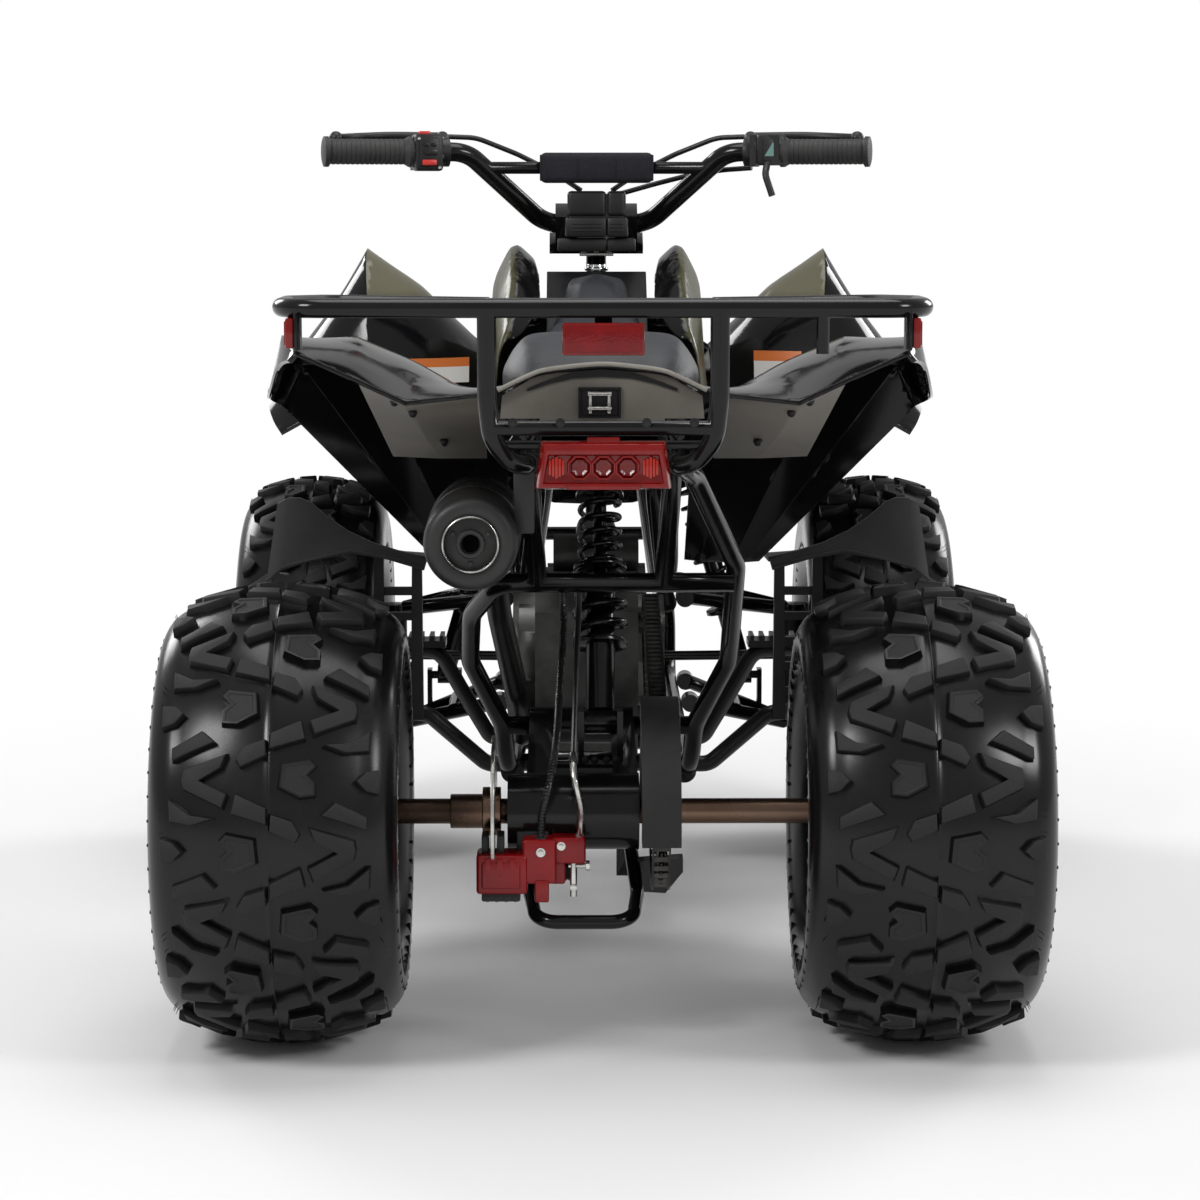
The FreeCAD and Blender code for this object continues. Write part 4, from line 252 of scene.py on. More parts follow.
finishLooks = {
    "tyreRubber": dict(colour=(10, 10, 11), second=(15, 14, 16), rough=0.24, mottle=14, roughSpread=0.12,
                       bump=0.75, bumpScale=900, bumpDepth=0.0005, specular=0.33,
                       raised={"attribute": "lugTop", "colour": (27, 26, 28), "rough": 0.6}),
    "glossPlastic": dict(colour=(11, 11, 13), second=(14, 14, 16), rough=0.1, mottle=5, roughSpread=0.03,
                         bump=0.008, bumpScale=30, specular=0.3, dust=0.02),
    # the olive raised colour is a painted reflection of a bright ceiling on the fenders' upper inner faces
    "frontPlastic": dict(colour=(11, 11, 13), second=(14, 14, 16), rough=0.1, mottle=5, roughSpread=0.03,
                         bump=0.008, bumpScale=30, specular=0.32,
                         raised={"attribute": "innerFace", "colour": (98, 95, 78), "rough": 0.2}),
    "undersidePlastic": dict(colour=(13, 13, 13), second=(18, 18, 18), rough=0.42, mottle=9, bump=0.3,
                             bumpScale=500, specular=0.3),
    "powderCoat": dict(colour=(12, 12, 13), second=(16, 16, 17), rough=0.16, mottle=20, roughSpread=0.08,
                       bump=0.12, bumpScale=500, specular=0.3),
    "satinSteel": dict(colour=(14, 14, 14), second=(22, 21, 21), rough=0.36, mottle=25, bump=0.25,
                       bumpScale=500, specular=0.4, dust=0.05),
    "linerPlastic": dict(colour=(98, 94, 87), second=(118, 113, 105), rough=0.5, mottle=9, bump=0.35,
                         bumpScale=600, specular=0.3),
    # partly painted highlight: the lip's grey is set paler than the liner for the light line along its edge
    "paleLipHighlight": dict(colour=(138, 134, 126), second=(154, 150, 142), rough=0.45, mottle=12),
    # the olive is a painted reflection of a bright room on the shrouds' dark gloss plastic; faces toward the middle
    # keep the black
    "olivePaintedReflection": dict(colour=(58, 57, 38), second=(76, 74, 50), rough=0.26, mottle=5, bump=0.012,
                         bumpScale=30, specular=0.25,
                         raised={"attribute": "innerFace", "colour": (13, 13, 14), "rough": 0.14}),
    "seatCover": dict(colour=(29, 31, 35), second=(38, 41, 47), rough=0.48, mottle=12, bump=0.6,
                      bumpScale=650, bumpDepth=0.0005, specular=0.45, cells=True),
    "mouldedPlastic": dict(colour=(20, 20, 22), second=(28, 28, 30), rough=0.42, mottle=18, bump=0.4,
                           bumpScale=800, specular=0.4),
    "guardPlastic": dict(colour=(14, 13, 13), second=(26, 24, 24), rough=0.5, mottle=30, bump=0.5,
                         bumpScale=1100, specular=0.4),
    "gripRubber": dict(colour=(36, 36, 36), second=(46, 46, 45), rough=0.58, mottle=30, bump=0.4,
                       bumpScale=900, specular=0.4),
    "padCloth": dict(colour=(15, 15, 22), second=(24, 24, 34), rough=0.7, mottle=60, bump=0.8, bumpScale=1500,
                     bumpDepth=0.0004, specular=0.3, cells=True),
    "axleSteel": dict(colour=(104, 82, 68), second=(128, 106, 92), rough=0.26, metal=1.0, mottle=9,
                      roughSpread=0.12, bump=0.15, bumpScale=300),
    "groundSteel": dict(colour=(214, 212, 208), second=(176, 174, 170), rough=0.25, metal=1.0, mottle=12,
                        roughSpread=0.16, bump=0.2, bumpScale=350, stretch=(1, 3, 3)),
    "darkSteel": dict(colour=(56, 55, 54), second=(86, 84, 82), rough=0.33, metal=1.0, mottle=40,
                      roughSpread=0.2, bump=0.2, bumpScale=500),
    "castAlloy": dict(colour=(70, 70, 69), second=(96, 95, 93), rough=0.42, metal=0.7, mottle=30,
                      bump=0.5, bumpScale=650, bumpDepth=0.0005, dust=0.06),
    # painted shade: a flat dead black that stands for the dark inside of an opening
    "paintedShadeBlack": dict(colour=(3, 3, 3), second=(5, 5, 5), rough=0.9, specular=0.05),
    "mufflerCoat": dict(colour=(32, 32, 32), second=(40, 39, 38), rough=0.46, mottle=22, bump=0.3,
                        bumpScale=600, specular=0.45),
    "caliperRed": dict(colour=(118, 3, 8), second=(134, 6, 12), rough=0.24, mottle=12, bump=0.3,
                       bumpScale=260, specular=0.4),
    "lensRed": dict(colour=(106, 4, 3), second=(128, 10, 7), rough=0.12, mottle=10, bump=0.15,
                    bumpScale=180, specular=0.45),
    "lensDark": dict(colour=(84, 5, 6), second=(104, 9, 9), rough=0.18, bump=0.4, bumpScale=500,
                     cells=True, specular=0.5),
    "lensAmber": dict(colour=(148, 26, 13), second=(168, 38, 22), rough=0.15, bump=0.3, bumpScale=300,
                      specular=0.5),
    "reflectorRed": dict(colour=(98, 2, 5), second=(122, 4, 8), rough=0.16, mottle=60, bump=0.5,
                         bumpScale=420, bumpDepth=0.0005, cells=True, specular=0.35),
    "chrome": dict(colour=(222, 222, 224), second=(200, 200, 203), rough=0.08, metal=1.0, roughSpread=0.05),
    "clearLens": dict(colour=(150, 156, 164), second=(172, 178, 186), rough=0.07, specular=0.6, coat=0.5),
    "cableSheath": dict(colour=(17, 17, 18), second=(24, 24, 25), rough=0.32, mottle=50, specular=0.45),
    "labelOrange": dict(colour=(196, 104, 46), second=(206, 114, 54), rough=0.35),
    "labelWhite": dict(colour=(206, 204, 200), second=(214, 212, 208), rough=0.35),
    "buttonRed": dict(colour=(186, 48, 44), second=(200, 60, 54), rough=0.3),
    "stickerGreen": dict(colour=(96, 128, 122), second=(110, 142, 136), rough=0.3),
}
finishes = {name: makeFinish(name, **look) for name, look in finishLooks.items()}

slotFinish = {
    "rim_black": "satinSteel", "axle_steel": "axleSteel", "disc_steel": "groundSteel",
    "sprocket_steel": "darkSteel", "frame_black": "powderCoat", "bumper_black": "powderCoat",
    "engine_alloy": "castAlloy", "pipe_black": "satinSteel", "arm_black": "powderCoat",
    "damper_steel": "powderCoat", "knuckle_iron": "satinSteel", "chain_steel": "darkSteel",
    "guard_plastic": "guardPlastic", "body_black": "glossPlastic", "liner_grey": "linerPlastic",
    "front_body_black": "frontPlastic", "shroud_grey": "olivePaintedReflection", "tank_black": "mouldedPlastic",
    "cap_chrome": "chrome", "rack_black": "powderCoat", "footrest_black": "satinSteel",
    "heel_guard_black": "mouldedPlastic", "stem_black": "powderCoat", "handlebar_black": "powderCoat",
    "control_plastic": "mouldedPlastic", "cable_rubber": "cableSheath",
}
print("finishes")


# making pieces, in millimetres until addPiece scales them
samePoint = 0.000005  # metres
nodeSamePoint = 0.00002
flatAngle = 0.6  # degrees


def addPiece(bm, name, finish, body, replaced=(), sharpAngle=38, inMm=True, tidyNormals=True):
    if inMm:
        bmesh.ops.scale(bm, verts=bm.verts, vec=(mm, mm, mm))
    if tidyNormals:
        bmesh.ops.remove_doubles(bm, verts=bm.verts, dist=samePoint)
        bmesh.ops.recalc_face_normals(bm, faces=bm.faces)
    mesh = bpy.data.meshes.new(name)
    bm.to_mesh(mesh)
    bm.free()
    for polygon in mesh.polygons:
        polygon.use_smooth = True
    mesh.set_sharp_from_angle(angle=math.radians(sharpAngle))
    mesh.materials.append(finishes[finish])
    piece = bpy.data.objects.new(name, mesh)
    bpy.context.scene.collection.objects.link(piece)
    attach(piece, body)
    if replaced:
        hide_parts(*replaced)
    return piece


def vertsOf(geom):
    return [v for v in geom if isinstance(v, bmesh.types.BMVert)]


def facesOf(geom):
    return [f for f in geom if isinstance(f, bmesh.types.BMFace)]


def easeEdges(bm, edges, offset, segments=2):
    bmesh.ops.bevel(bm, geom=edges, offset=offset, offset_type="OFFSET", segments=segments, profile=0.5,
                    affect="EDGES", clamp_overlap=True, material=-1)


def sharpEdges(bm, degrees):
    return [e for e in bm.edges if len(e.link_faces) == 2 and e.calc_face_angle(0) > math.radians(degrees)]


def thicken(bm, faces, move):
    grown = bmesh.ops.extrude_face_region(bm, geom=faces)["geom"]
    bmesh.ops.translate(bm, verts=vertsOf(grown), vec=move)
    return grown


def joinInto(bm, part):
    holder = bpy.data.meshes.new("part")
    part.to_mesh(holder)
    part.free()
    bm.from_mesh(holder)
    bpy.data.meshes.remove(holder)


def smoothed(bm, verts, rounds):
    for _ in range(rounds):
        bmesh.ops.smooth_vert(bm, verts=verts, factor=0.5, use_axis_x=True, use_axis_y=True, use_axis_z=True)


def mergedCopy(node, flatten=True):
    bm = bmesh.new()
    bm.from_mesh(frame["nodes"][node].data)
    bmesh.ops.remove_doubles(bm, verts=bm.verts, dist=nodeSamePoint)
    if flatten:
        bmesh.ops.dissolve_limit(bm, angle_limit=math.radians(flatAngle), verts=bm.verts, edges=bm.edges)
    return bm


# the curved panels' skins: longest edge in metres, rounds of smoothing, and the angle from which an edge is held
evenPanels = {
    "front_body": (0.016, 9, 22),
    "rear_body": (0.016, 9, 22),
    "nose_mask": (0.016, 4, 22),
    "tank_shrouds": (0.01, 9, 180),
}
halvings = 7


def evenOut(bm, longest, rounds, held):
    for _ in range(halvings):
        edges = [e for e in bm.edges if e.calc_length() > longest]
        if not edges:
            break
        bmesh.ops.subdivide_edges(bm, edges=edges, cuts=1)
        bmesh.ops.triangulate(bm, faces=[f for f in bm.faces if len(f.verts) > 3])
    smoothed(bm, [v for v in bm.verts if all(len(e.link_faces) == 2 and e.calc_face_angle(0) < math.radians(held)
                                             for e in v.link_edges)], rounds)


# faces that look toward the middle have the other colour: on the front body a painted reflection of a bright ceiling
# on the upper inner faces, on the shrouds the plain black beside their olive painted reflection; the columns are the
# heights between which it comes in, how far they may lean from the middle, how softly it ends, and how far from the
# middle it starts and stops
innerFaces = {
    "front_body": {"rise": (0.695, 0.722), "lean": -0.25, "soft": 0, "from": 0.09, "to": 0.285},
    "tank_shrouds": {"rise": (0.52, 0.53), "lean": 0.1, "soft": 0.12, "from": 0.0, "to": 0.3},
}


# marks where the front body's painted reflection goes, and where the shrouds keep their black beside their painted
# reflection
def markInner(bm, look):
    for z in look["rise"]:
        bmesh.ops.bisect_plane(bm, geom=bm.verts[:] + bm.edges[:] + bm.faces[:], dist=1e-6, plane_co=(0, 0, z),
                               plane_no=(0, 0, 1))
    bm.normal_update()
    mark = bm.loops.layers.float.new("innerFace")
    base, full = look["rise"]
    for face in bm.faces:
        at = face.calc_center_median()
        if not look["from"] < abs(at.x) < look["to"]:
            continue
        for corner in face.loops:
            way = corner.vert.normal if look["soft"] else face.normal
            facing = (look["lean"] - way.x * math.copysign(1, at.x)) / (look["soft"] or 0.001)
            height = (corner.vert.co.z - base) / (full - base)
            corner[mark] = min(max(facing, 0), 1) * min(max(height, 0), 1)


# an edge is eased from 35 degrees on, and in four steps where it is wide
easeLook = {"from": 35, "wide": 0.002, "wideSteps": 4, "steps": 2}


def skin(node, finish=None, ease=0.0):
    bm = mergedCopy(node, flatten=node not in evenPanels)
    if node in evenPanels:
        evenOut(bm, *evenPanels[node])
    if ease:
        easeEdges(bm, sharpEdges(bm, easeLook["from"]), ease,
                  easeLook["wideSteps" if ease > easeLook["wide"] else "steps"])
    if node in innerFaces:
        markInner(bm, innerFaces[node])
    words = node.split("_")
    name = words[0] + "".join(w.capitalize() for w in words[1:]) + "Skin"
    addPiece(bm, name, finish or slotFinish[nodeSlot[node]], nodeBody[node], [node], inMm=False,
             tidyNormals=False)


def spun(bm, profile, centre, axis="X", steps=64):
    points = []
    for along, radius in profile:
        if axis == "X":
            points.append((along, 0, radius))
        elif axis == "Y":
            points.append((0, along, radius))
        else:
            points.append((radius, 0, along))
    verts = [bm.verts.new(Vector(p) + Vector(centre)) for p in points]
    edges = [bm.edges.new((a, b)) for a, b in zip(verts, verts[1:])]
    way = {"X": (1, 0, 0), "Y": (0, 1, 0), "Z": (0, 0, 1)}[axis]
    bmesh.ops.spin(bm, geom=verts + edges, cent=centre, axis=way, dvec=(0, 0, 0), angle=2 * math.pi, steps=steps,
                   use_merge=True)
    return bm


def arcBetween(a, b, sagitta, steps):
    (x0, y0), (x1, y1) = a, b
    half = math.hypot(x1 - x0, y1 - y0) / 2
    radius = (half * half + sagitta * sagitta) / (2 * sagitta)
    nx, ny = -(y1 - y0) / (2 * half), (x1 - x0) / (2 * half)
    cx, cy = (x0 + x1) / 2 - nx * (radius - sagitta), (y0 + y1) / 2 - ny * (radius - sagitta)
    start = math.atan2(y0 - cy, x0 - cx)
    end = math.atan2(y1 - cy, x1 - cx)
    turn = (end - start + math.pi) % (2 * math.pi) - math.pi
    angles = [start + turn * i / steps for i in range(steps + 1)]
    return [(cx + abs(radius) * math.cos(angle), cy + abs(radius) * math.sin(angle)) for angle in angles]


def block(bm, low, high, ease=1.5, segments=2, turn=None):
    made = bmesh.ops.create_cube(bm, size=1)["verts"]
    low, high = Vector(low), Vector(high)
    bmesh.ops.scale(bm, verts=made, vec=high - low)
    if turn:
        bmesh.ops.rotate(bm, verts=made, cent=(0, 0, 0), matrix=turn)
    bmesh.ops.translate(bm, verts=made, vec=(low + high) / 2)
    if ease:
        easeEdges(bm, list({e for v in made for e in v.link_edges}), ease, segments)


def blocks(bm, rows):
    for row in rows:
        block(bm, *row)


def rod(bm, a, b, radius, sides=24, ease=0.0, endRadius=None):
    a, b = Vector(a), Vector(b)
    turn = (b - a).to_track_quat("Z", "Y").to_matrix().to_4x4()
    made = bmesh.ops.create_cone(bm, cap_ends=True, segments=sides, radius1=radius,
                                 radius2=radius if endRadius is None else endRadius, depth=(b - a).length,
                                 matrix=Matrix.Translation((a + b) / 2) @ turn)["verts"]
    if ease:
        edges = list({e for v in made for e in v.link_edges if any(len(f.verts) > 4 for f in e.link_faces)})
        easeEdges(bm, edges, ease)


def rods(bm, rows):
    for row in rows:
        rod(bm, *row)


def bolt(bm, at, way, radius=4.0, height=3.0):
    at, way = Vector(at), Vector(way).normalized()
    rod(bm, at - way, at + way * 0.8, radius * 1.4, 20)
    rod(bm, at + way * 0.8, at + way * (0.8 + height), radius, 6, ease=0.35)


def pipe(bm, points, radius, rings=3, bevelled=True):
    curve = bpy.data.curves.new("line", "CURVE")
    curve.dimensions = "3D"
    if bevelled:
        curve.bevel_depth = radius
        curve.bevel_resolution = rings
        curve.use_fill_caps = True
    line = curve.splines.new("NURBS")
    line.points.add(len(points) - 1)
    for point, at in zip(line.points, points):
        point.co = (*at, 1)
    line.order_u = 3
    line.use_endpoint_u = True
    line.resolution_u = 8
    holder = bpy.data.objects.new("line", curve)
    mesh = bpy.data.meshes.new_from_object(holder)
    centres = [v.co.copy() for v in mesh.vertices]
    if bevelled:
        bm.from_mesh(mesh)
    bpy.data.meshes.remove(mesh)
    bpy.data.objects.remove(holder)
    bpy.data.curves.remove(curve)
    return centres


def bothSides(bm):
    whole = bm.verts[:] + bm.edges[:] + bm.faces[:]
    twin = bmesh.ops.duplicate(bm, geom=whole)["geom"]
    bmesh.ops.scale(bm, verts=vertsOf(twin), vec=(-1, 1, 1))
    bmesh.ops.reverse_faces(bm, faces=facesOf(twin))


# tyres
tyreLook = {
    "rear": {"half": 118.0, "radius": 229.0, "rimHalf": 81.0, "repeats": 10},
    "front": {"half": 89.0, "radius": 241.0, "rimHalf": 62.0, "repeats": 11},
    "bead": 101.9,
    "lip": 113.0,
    "depth": 8.5,
    "shoulder": 0.75,
    "crownShare": 0.076,
    "sideBulge": 9.0,
    # corners across and along, in mm on the 236 mm wide tyre, of half a repeat; the next half is its mirror image
    "houses": [[(10, -8), (12, 15), (38, 20), (44, 13), (36, 4), (43, -3), (43, -16), (29, -18)]],
    "crownBars": [
        [(-29, -14), (-1.6, -27.5), (-1.0, -43), (-33, -32)],
        [(3, -33.5), (22, -40), (29, -52.5), (25, -60), (2, -49)],
    ],
    "shoulderLugs": [
        [(-38, 25), (-77, 12), (-79, 2), (-77, -8), (-41.5, -27), (-37, -14), (-63, 0), (-43, 12)],
        [(-49, 37.5), (-61, 50), (-89, 35), (-89, 22), (-76, 27.5)],
        [(-50, -37.5), (-72, -34), (-92, -18), (-91, -40), (-70, -44)],
        [(79, 0), (88, 10), (99, 13), (99, -13), (88, -10)],
    ],
    "bury": 3,  # how deep a lug's foot lies in the crown
    "belowDepth": 0.5,
    "footGrow": 1.12,
    "headShrink": 0.87,
    "lugEase": 0.9,
    "panel": {"rim": 3.2, "wall": 0.7, "deep": 1.1},  # sunk into the houses
    "seam": [(0, 0.7), (0.5, 0.6), (1.2, 0)],
    "sideBars": 48,
    "sideBar": {"in": 1.4, "thick": 1.3, "wide": 1.4, "from": 150, "to": 177, "ease": 0.5},
    "hairs": 6,
    "hair": {"share": 0.86, "foot": 0.45, "tip": 0.2, "tall": 7, "up": 2},
}


def carcassLine(kind):
    look = tyreLook[kind]
    half, top = look["half"], look["radius"] - tyreLook["depth"]
    edge = half * tyreLook["shoulder"]
    drop = half * 2 * tyreLook["crownShare"]
    waist = (look["radius"] + tyreLook["bead"]) / 2
    crown = arcBetween((-edge, top - drop), (edge, top - drop), drop, 28)[14:]
    side = arcBetween((edge, top - drop), (half, waist), tyreLook["sideBulge"], 12)[1:]
    lower = arcBetween((half, waist), (look["rimHalf"], tyreLook["lip"]), tyreLook["sideBulge"], 10)[1:]
    return crown + side + lower


def standOff(outline, across, height):
    a = abs(across)
    for (x0, r0), (x1, r1) in zip(outline, outline[1:]):
        if x0 <= a <= x1:
            radius = r0 + (r1 - r0) * (a - x0) / (x1 - x0)
            slope = math.atan2(r0 - r1, x1 - x0)
            return radius + height * math.cos(slope), math.copysign(height * math.sin(slope), across)
    return outline[-1][1], 0


def makeLug(lugs, topMark, corners, panelled):
    foot = [lugs.verts.new((x, s, -tyreLook["bury"])) for x, s in corners]
    face = lugs.faces.new(foot)
    face.normal_update()
    if face.normal.z < 0:
        face.normal_flip()
    middle = Matrix.Translation(-sum((v.co for v in foot), Vector()) / len(foot))
    grow, shrink = tyreLook["footGrow"], tyreLook["headShrink"]
    bmesh.ops.scale(lugs, verts=foot, vec=(grow, grow, 1), space=middle)
    grown = thicken(lugs, [face], (0, 0, tyreLook["depth"] + tyreLook["bury"] - tyreLook["belowDepth"]))
    head, cap = vertsOf(grown), facesOf(grown)
    bmesh.ops.scale(lugs, verts=head, vec=(shrink, shrink, 1), space=middle)
    if panelled:
        panel = tyreLook["panel"]
        bmesh.ops.inset_region(lugs, faces=cap, thickness=panel["rim"], depth=0, use_even_offset=True)
        bmesh.ops.inset_region(lugs, faces=cap, thickness=panel["wall"], depth=-panel["deep"], use_even_offset=True)
        around = {g for f in cap for e in f.edges for g in e.link_faces}
        head = list(set(head) | {v for f in cap for v in f.verts} | {v for g in around for v in g.verts})
    for v in head:
        v[topMark] = 1
    rims = list({e for v in head for e in v.link_edges if e.verts[0][topMark] and e.verts[1][topMark]
                 and any(not all(v[topMark] for v in f.verts) for f in e.link_faces)})
    easeEdges(lugs, rims, tyreLook["lugEase"])


def repeatRound(bm, count):
    bmesh.ops.spin(bm, geom=bm.verts[:] + bm.edges[:] + bm.faces[:], cent=(0, 0, 0), axis=(1, 0, 0), dvec=(0, 0, 0),
                   angle=2 * math.pi - 2 * math.pi / count, steps=count - 1, use_duplicate=True)


def makeTyre(kind, word):
    look = tyreLook[kind]
    node = f"{kind}_tyre_{word}"
    low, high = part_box(node)
    centre = (low + high) / 2 / mm
    outline = carcassLine(kind)
    half, bead, repeats = look["half"], tyreLook["bead"], look["repeats"]
    top = look["radius"] - tyreLook["depth"]
    bm = bmesh.new()
    seam = [(x, top + rise) for x, rise in tyreLook["seam"]]
    rightHalf = seam + outline[1:] + [(look["rimHalf"], bead + 5), (look["rimHalf"] - 1, bead + 0.3)]
    inside = [(look["rimHalf"] - 10, bead + 0.3), (look["rimHalf"] - 10, bead + 12), (half - 12, bead + 62),
              (half * 0.72, top - 28), (0, top - 13)]
    profile = [(-x, r) for x, r in rightHalf[:0:-1]] + rightHalf + inside
    profile += [(-x, r) for x, r in inside[-2::-1]] + [(1 - look["rimHalf"], bead + 0.3)]
    spun(bm, profile, (0, 0, 0), "X", 96)
    bmesh.ops.remove_doubles(bm, verts=bm.verts, dist=0.01)
    bm.verts.layers.float.new("lugTop")

    rear = tyreLook["rear"]
    wide = half / rear["half"]
    turn = 2 * math.pi / repeats
    stretch = turn * look["radius"] / (2 * math.pi * rear["radius"] / rear["repeats"])
    lugs = bmesh.new()
    topMark = lugs.verts.layers.float.new("lugTop")
    for flip, shift in ((1, 0), (-1, turn * look["radius"] / 2)):
        for group in ("houses", "crownBars", "shoulderLugs"):
            for corners in tyreLook[group]:
                placed = [(x * wide * flip, s * stretch + shift) for x, s in corners]
                makeLug(lugs, topMark, placed, group == "houses")
    shade = random.Random(5)
    hair = tyreLook["hair"]
    for i in range(tyreLook["hairs"]):
        side = 1 if i % 2 else -1
        at = (side * half * hair["share"], shade.uniform(0, 1) * turn * look["radius"], hair["up"])
        bmesh.ops.create_cone(lugs, cap_ends=True, segments=4, radius1=hair["foot"], radius2=hair["tip"],
                              depth=hair["tall"], matrix=Matrix.Translation(at))
    for v in lugs.verts:
        radius, out = standOff(outline, v.co.x, v.co.z)
        angle = v.co.y / look["radius"]
        v.co = Vector((v.co.x + out, math.sin(angle) * radius, math.cos(angle) * radius))
    repeatRound(lugs, repeats)
    bars = bmesh.new()
    bar = tyreLook["sideBar"]
    for side in (-1, 1):
        middle = side * (half - bar["in"])
        low = (middle - bar["thick"], -bar["wide"], bar["from"])
        high = (middle + bar["thick"], bar["wide"], bar["to"])
        block(bars, low, high, bar["ease"], 1)
    repeatRound(bars, tyreLook["sideBars"])
    for part in (lugs, bars):
        joinInto(bm, part)
    if word == "right":
        bmesh.ops.scale(bm, verts=bm.verts, vec=(-1, 1, 1))
    bmesh.ops.translate(bm, verts=bm.verts, vec=centre)
    bmesh.ops.recalc_face_normals(bm, faces=bm.faces)
    bmesh.ops.scale(bm, verts=bm.verts, vec=(mm, mm, mm))
    addPiece(bm, f"{kind}Tyre{word.capitalize()}", "tyreRubber", nodeBody[node], [node], sharpAngle=40,
             inMm=False, tidyNormals=False)


for word in ("left", "right"):
    makeTyre("rear", word)
    makeTyre("front", word)
print("tyres")


# coil springs on the lines of the dampers
springLook = {
    "rear": {"foot": (0, -400, 300), "head": (0, -290, 545), "from": 0.335, "to": 0.88, "steps": 22,
             # share of the length where it ends, coil radius, wire, turns
             "parts": [(0.62, 29.0, 8.6, 3.2), (0.9, 23.5, 6.2, 4.6)]},
    "front": {"foot": (192, 459, 226), "head": (112, 444, 505), "from": 0.33, "to": 0.92, "steps": 20,
              "parts": [(0.6, 24.0, 6.6, 3.4), (0.92, 21.0, 5.4, 4.6)]},
    "sides": (("rear", 1), ("front", 1), ("front", -1)),
    "overlap": 0.012,  # shares of the length
    "collar": 0.004,
    "collarIn": 1.5,
}


def coil(bm, low, high, radius, wire, turns, stepsPerTurn):
    way = (high - low).normalized()
    part = bmesh.new()
    ring = bmesh.ops.create_circle(part, segments=10, radius=wire / 2)["verts"]
    bmesh.ops.rotate(part, verts=ring, cent=(0, 0, 0), matrix=Matrix.Rotation(math.pi / 2, 3, "X"))
    bmesh.ops.translate(part, verts=ring, vec=(radius - wire / 2, 0, wire / 2))
    steps = round(turns * stepsPerTurn)
    height = (high - low).length - wire
    swept = bmesh.ops.spin(part, geom=ring + part.edges[:], cent=(0, 0, 0), axis=(0, 0, 1),
                           dvec=(0, 0, height / steps), angle=turns * 2 * math.pi, steps=steps, use_merge=False)
    for loop in (ring, vertsOf(swept["geom_last"])):
        rim = list({e for v in loop for e in v.link_edges if e.verts[0] in loop and e.verts[1] in loop})
        bmesh.ops.holes_fill(part, edges=rim, sides=0)
    bmesh.ops.rotate(part, verts=part.verts, cent=(0, 0, 0), matrix=way.to_track_quat("Z", "Y").to_matrix())
    bmesh.ops.translate(part, verts=part.verts, vec=low)
    joinInto(bm, part)


def makeSprings():
    bm = bmesh.new()
    overlap = springLook["overlap"]
    for kind, side in springLook["sides"]:
        look = springLook[kind]
        foot, head = Vector(look["foot"]), Vector(look["head"])
        foot.x *= side
        head.x *= side
        start = look["from"]
        for end, radius, wire, turns in look["parts"]:
            coil(bm, foot.lerp(head, start), foot.lerp(head, end), radius, wire, turns, look["steps"])
            start = end - overlap
        meet, lowRadius = look["parts"][0][:2]
        rod(bm, foot.lerp(head, meet - overlap), foot.lerp(head, meet + springLook["collar"]),
            lowRadius - springLook["collarIn"], 28, 0.8)
    addPiece(bm, "coilSprings", "powderCoat", "chassis", ["springs"], sharpAngle=60)


makeSprings()
print("springs")


# silencer
mufflerLook = {
    "centre": (-127, 0, 503),
    # along the can and out from its middle, from the tail end forwards
    "outline": [(-588, 0), (-588, 9.3), (-596, 9.6), (-597, 10.5), (-597, 13), (-596, 14), (-590, 14.2),
                (-589, 24.6), (-597.6, 25.6), (-598.4, 26.6), (-597.6, 27.8), (-595.6, 28.6), (-597, 33),
                (-596.4, 39), (-593.6, 43), (-588, 45.6), (-582, 46), (-581, 45.2), (-579.5, 45.2),
                (-578.5, 46), (-352, 46), (-351, 45.2), (-349.5, 45.2), (-348.5, 46), (-344, 46), (-330, 34),
                (-330, 0)],
    "bolts": [30, 150, 270],
    "boltCircle": 19.5,
    "boltReach": (-588, -592.5),
    "hanger": ((-86, -552, 509), (-66, -528, 572.7), 1.5),
    "straps": [-480, -400],
    "strap": [(-7, 46.2), (-6, 47.6), (6, 47.6), (7, 46.2), (-7, 46.2)],
    "ring": [(-599.0, 26.0), (-599.6, 26.7), (-599.0, 27.5), (-597.8, 27.6), (-597.8, 25.9), (-599.0, 26.0)],
    "mouth": -588.7,
    "mouthRadius": 8.4,
}


def makeMuffler():
    look = mufflerLook
    cx, _, cz = look["centre"]
    bm = bmesh.new()
    spun(bm, look["outline"], look["centre"], "Y", 72)
    front, rear = look["boltReach"]
    for degrees in look["bolts"]:
        a = math.radians(degrees)
        x, z = cx + look["boltCircle"] * math.cos(a), cz + look["boltCircle"] * math.sin(a)
        rod(bm, (x, front, z), (x, rear, z), 2.6, 6, 0.3)
    block(bm, *look["hanger"])
    for y in look["straps"]:
        spun(bm, [(y + along, radius) for along, radius in look["strap"]], look["centre"], "Y", 72)
    addPiece(bm, "silencer", "mufflerCoat", "chassis", ["muffler"], sharpAngle=35)
    bm = bmesh.new()
    spun(bm, look["ring"], look["centre"], "Y", 72)
    addPiece(bm, "silencerRing", "groundSteel", "chassis")
    bm = bmesh.new()
    # a dead black disc in the outlet is painted shade where the pipe's inside lies in shadow
    radius = look["mouthRadius"]
    mouth = bmesh.ops.create_cone(bm, cap_ends=True, segments=40, radius1=radius, radius2=radius, depth=1.2)["verts"]
    bmesh.ops.rotate(bm, verts=mouth, cent=(0, 0, 0), matrix=Matrix.Rotation(math.pi / 2, 3, "X"))
    bmesh.ops.translate(bm, verts=mouth, vec=(cx, look["mouth"], cz))
    addPiece(bm, "silencerMouthShade", "paintedShadeBlack", "chassis")


makeMuffler()


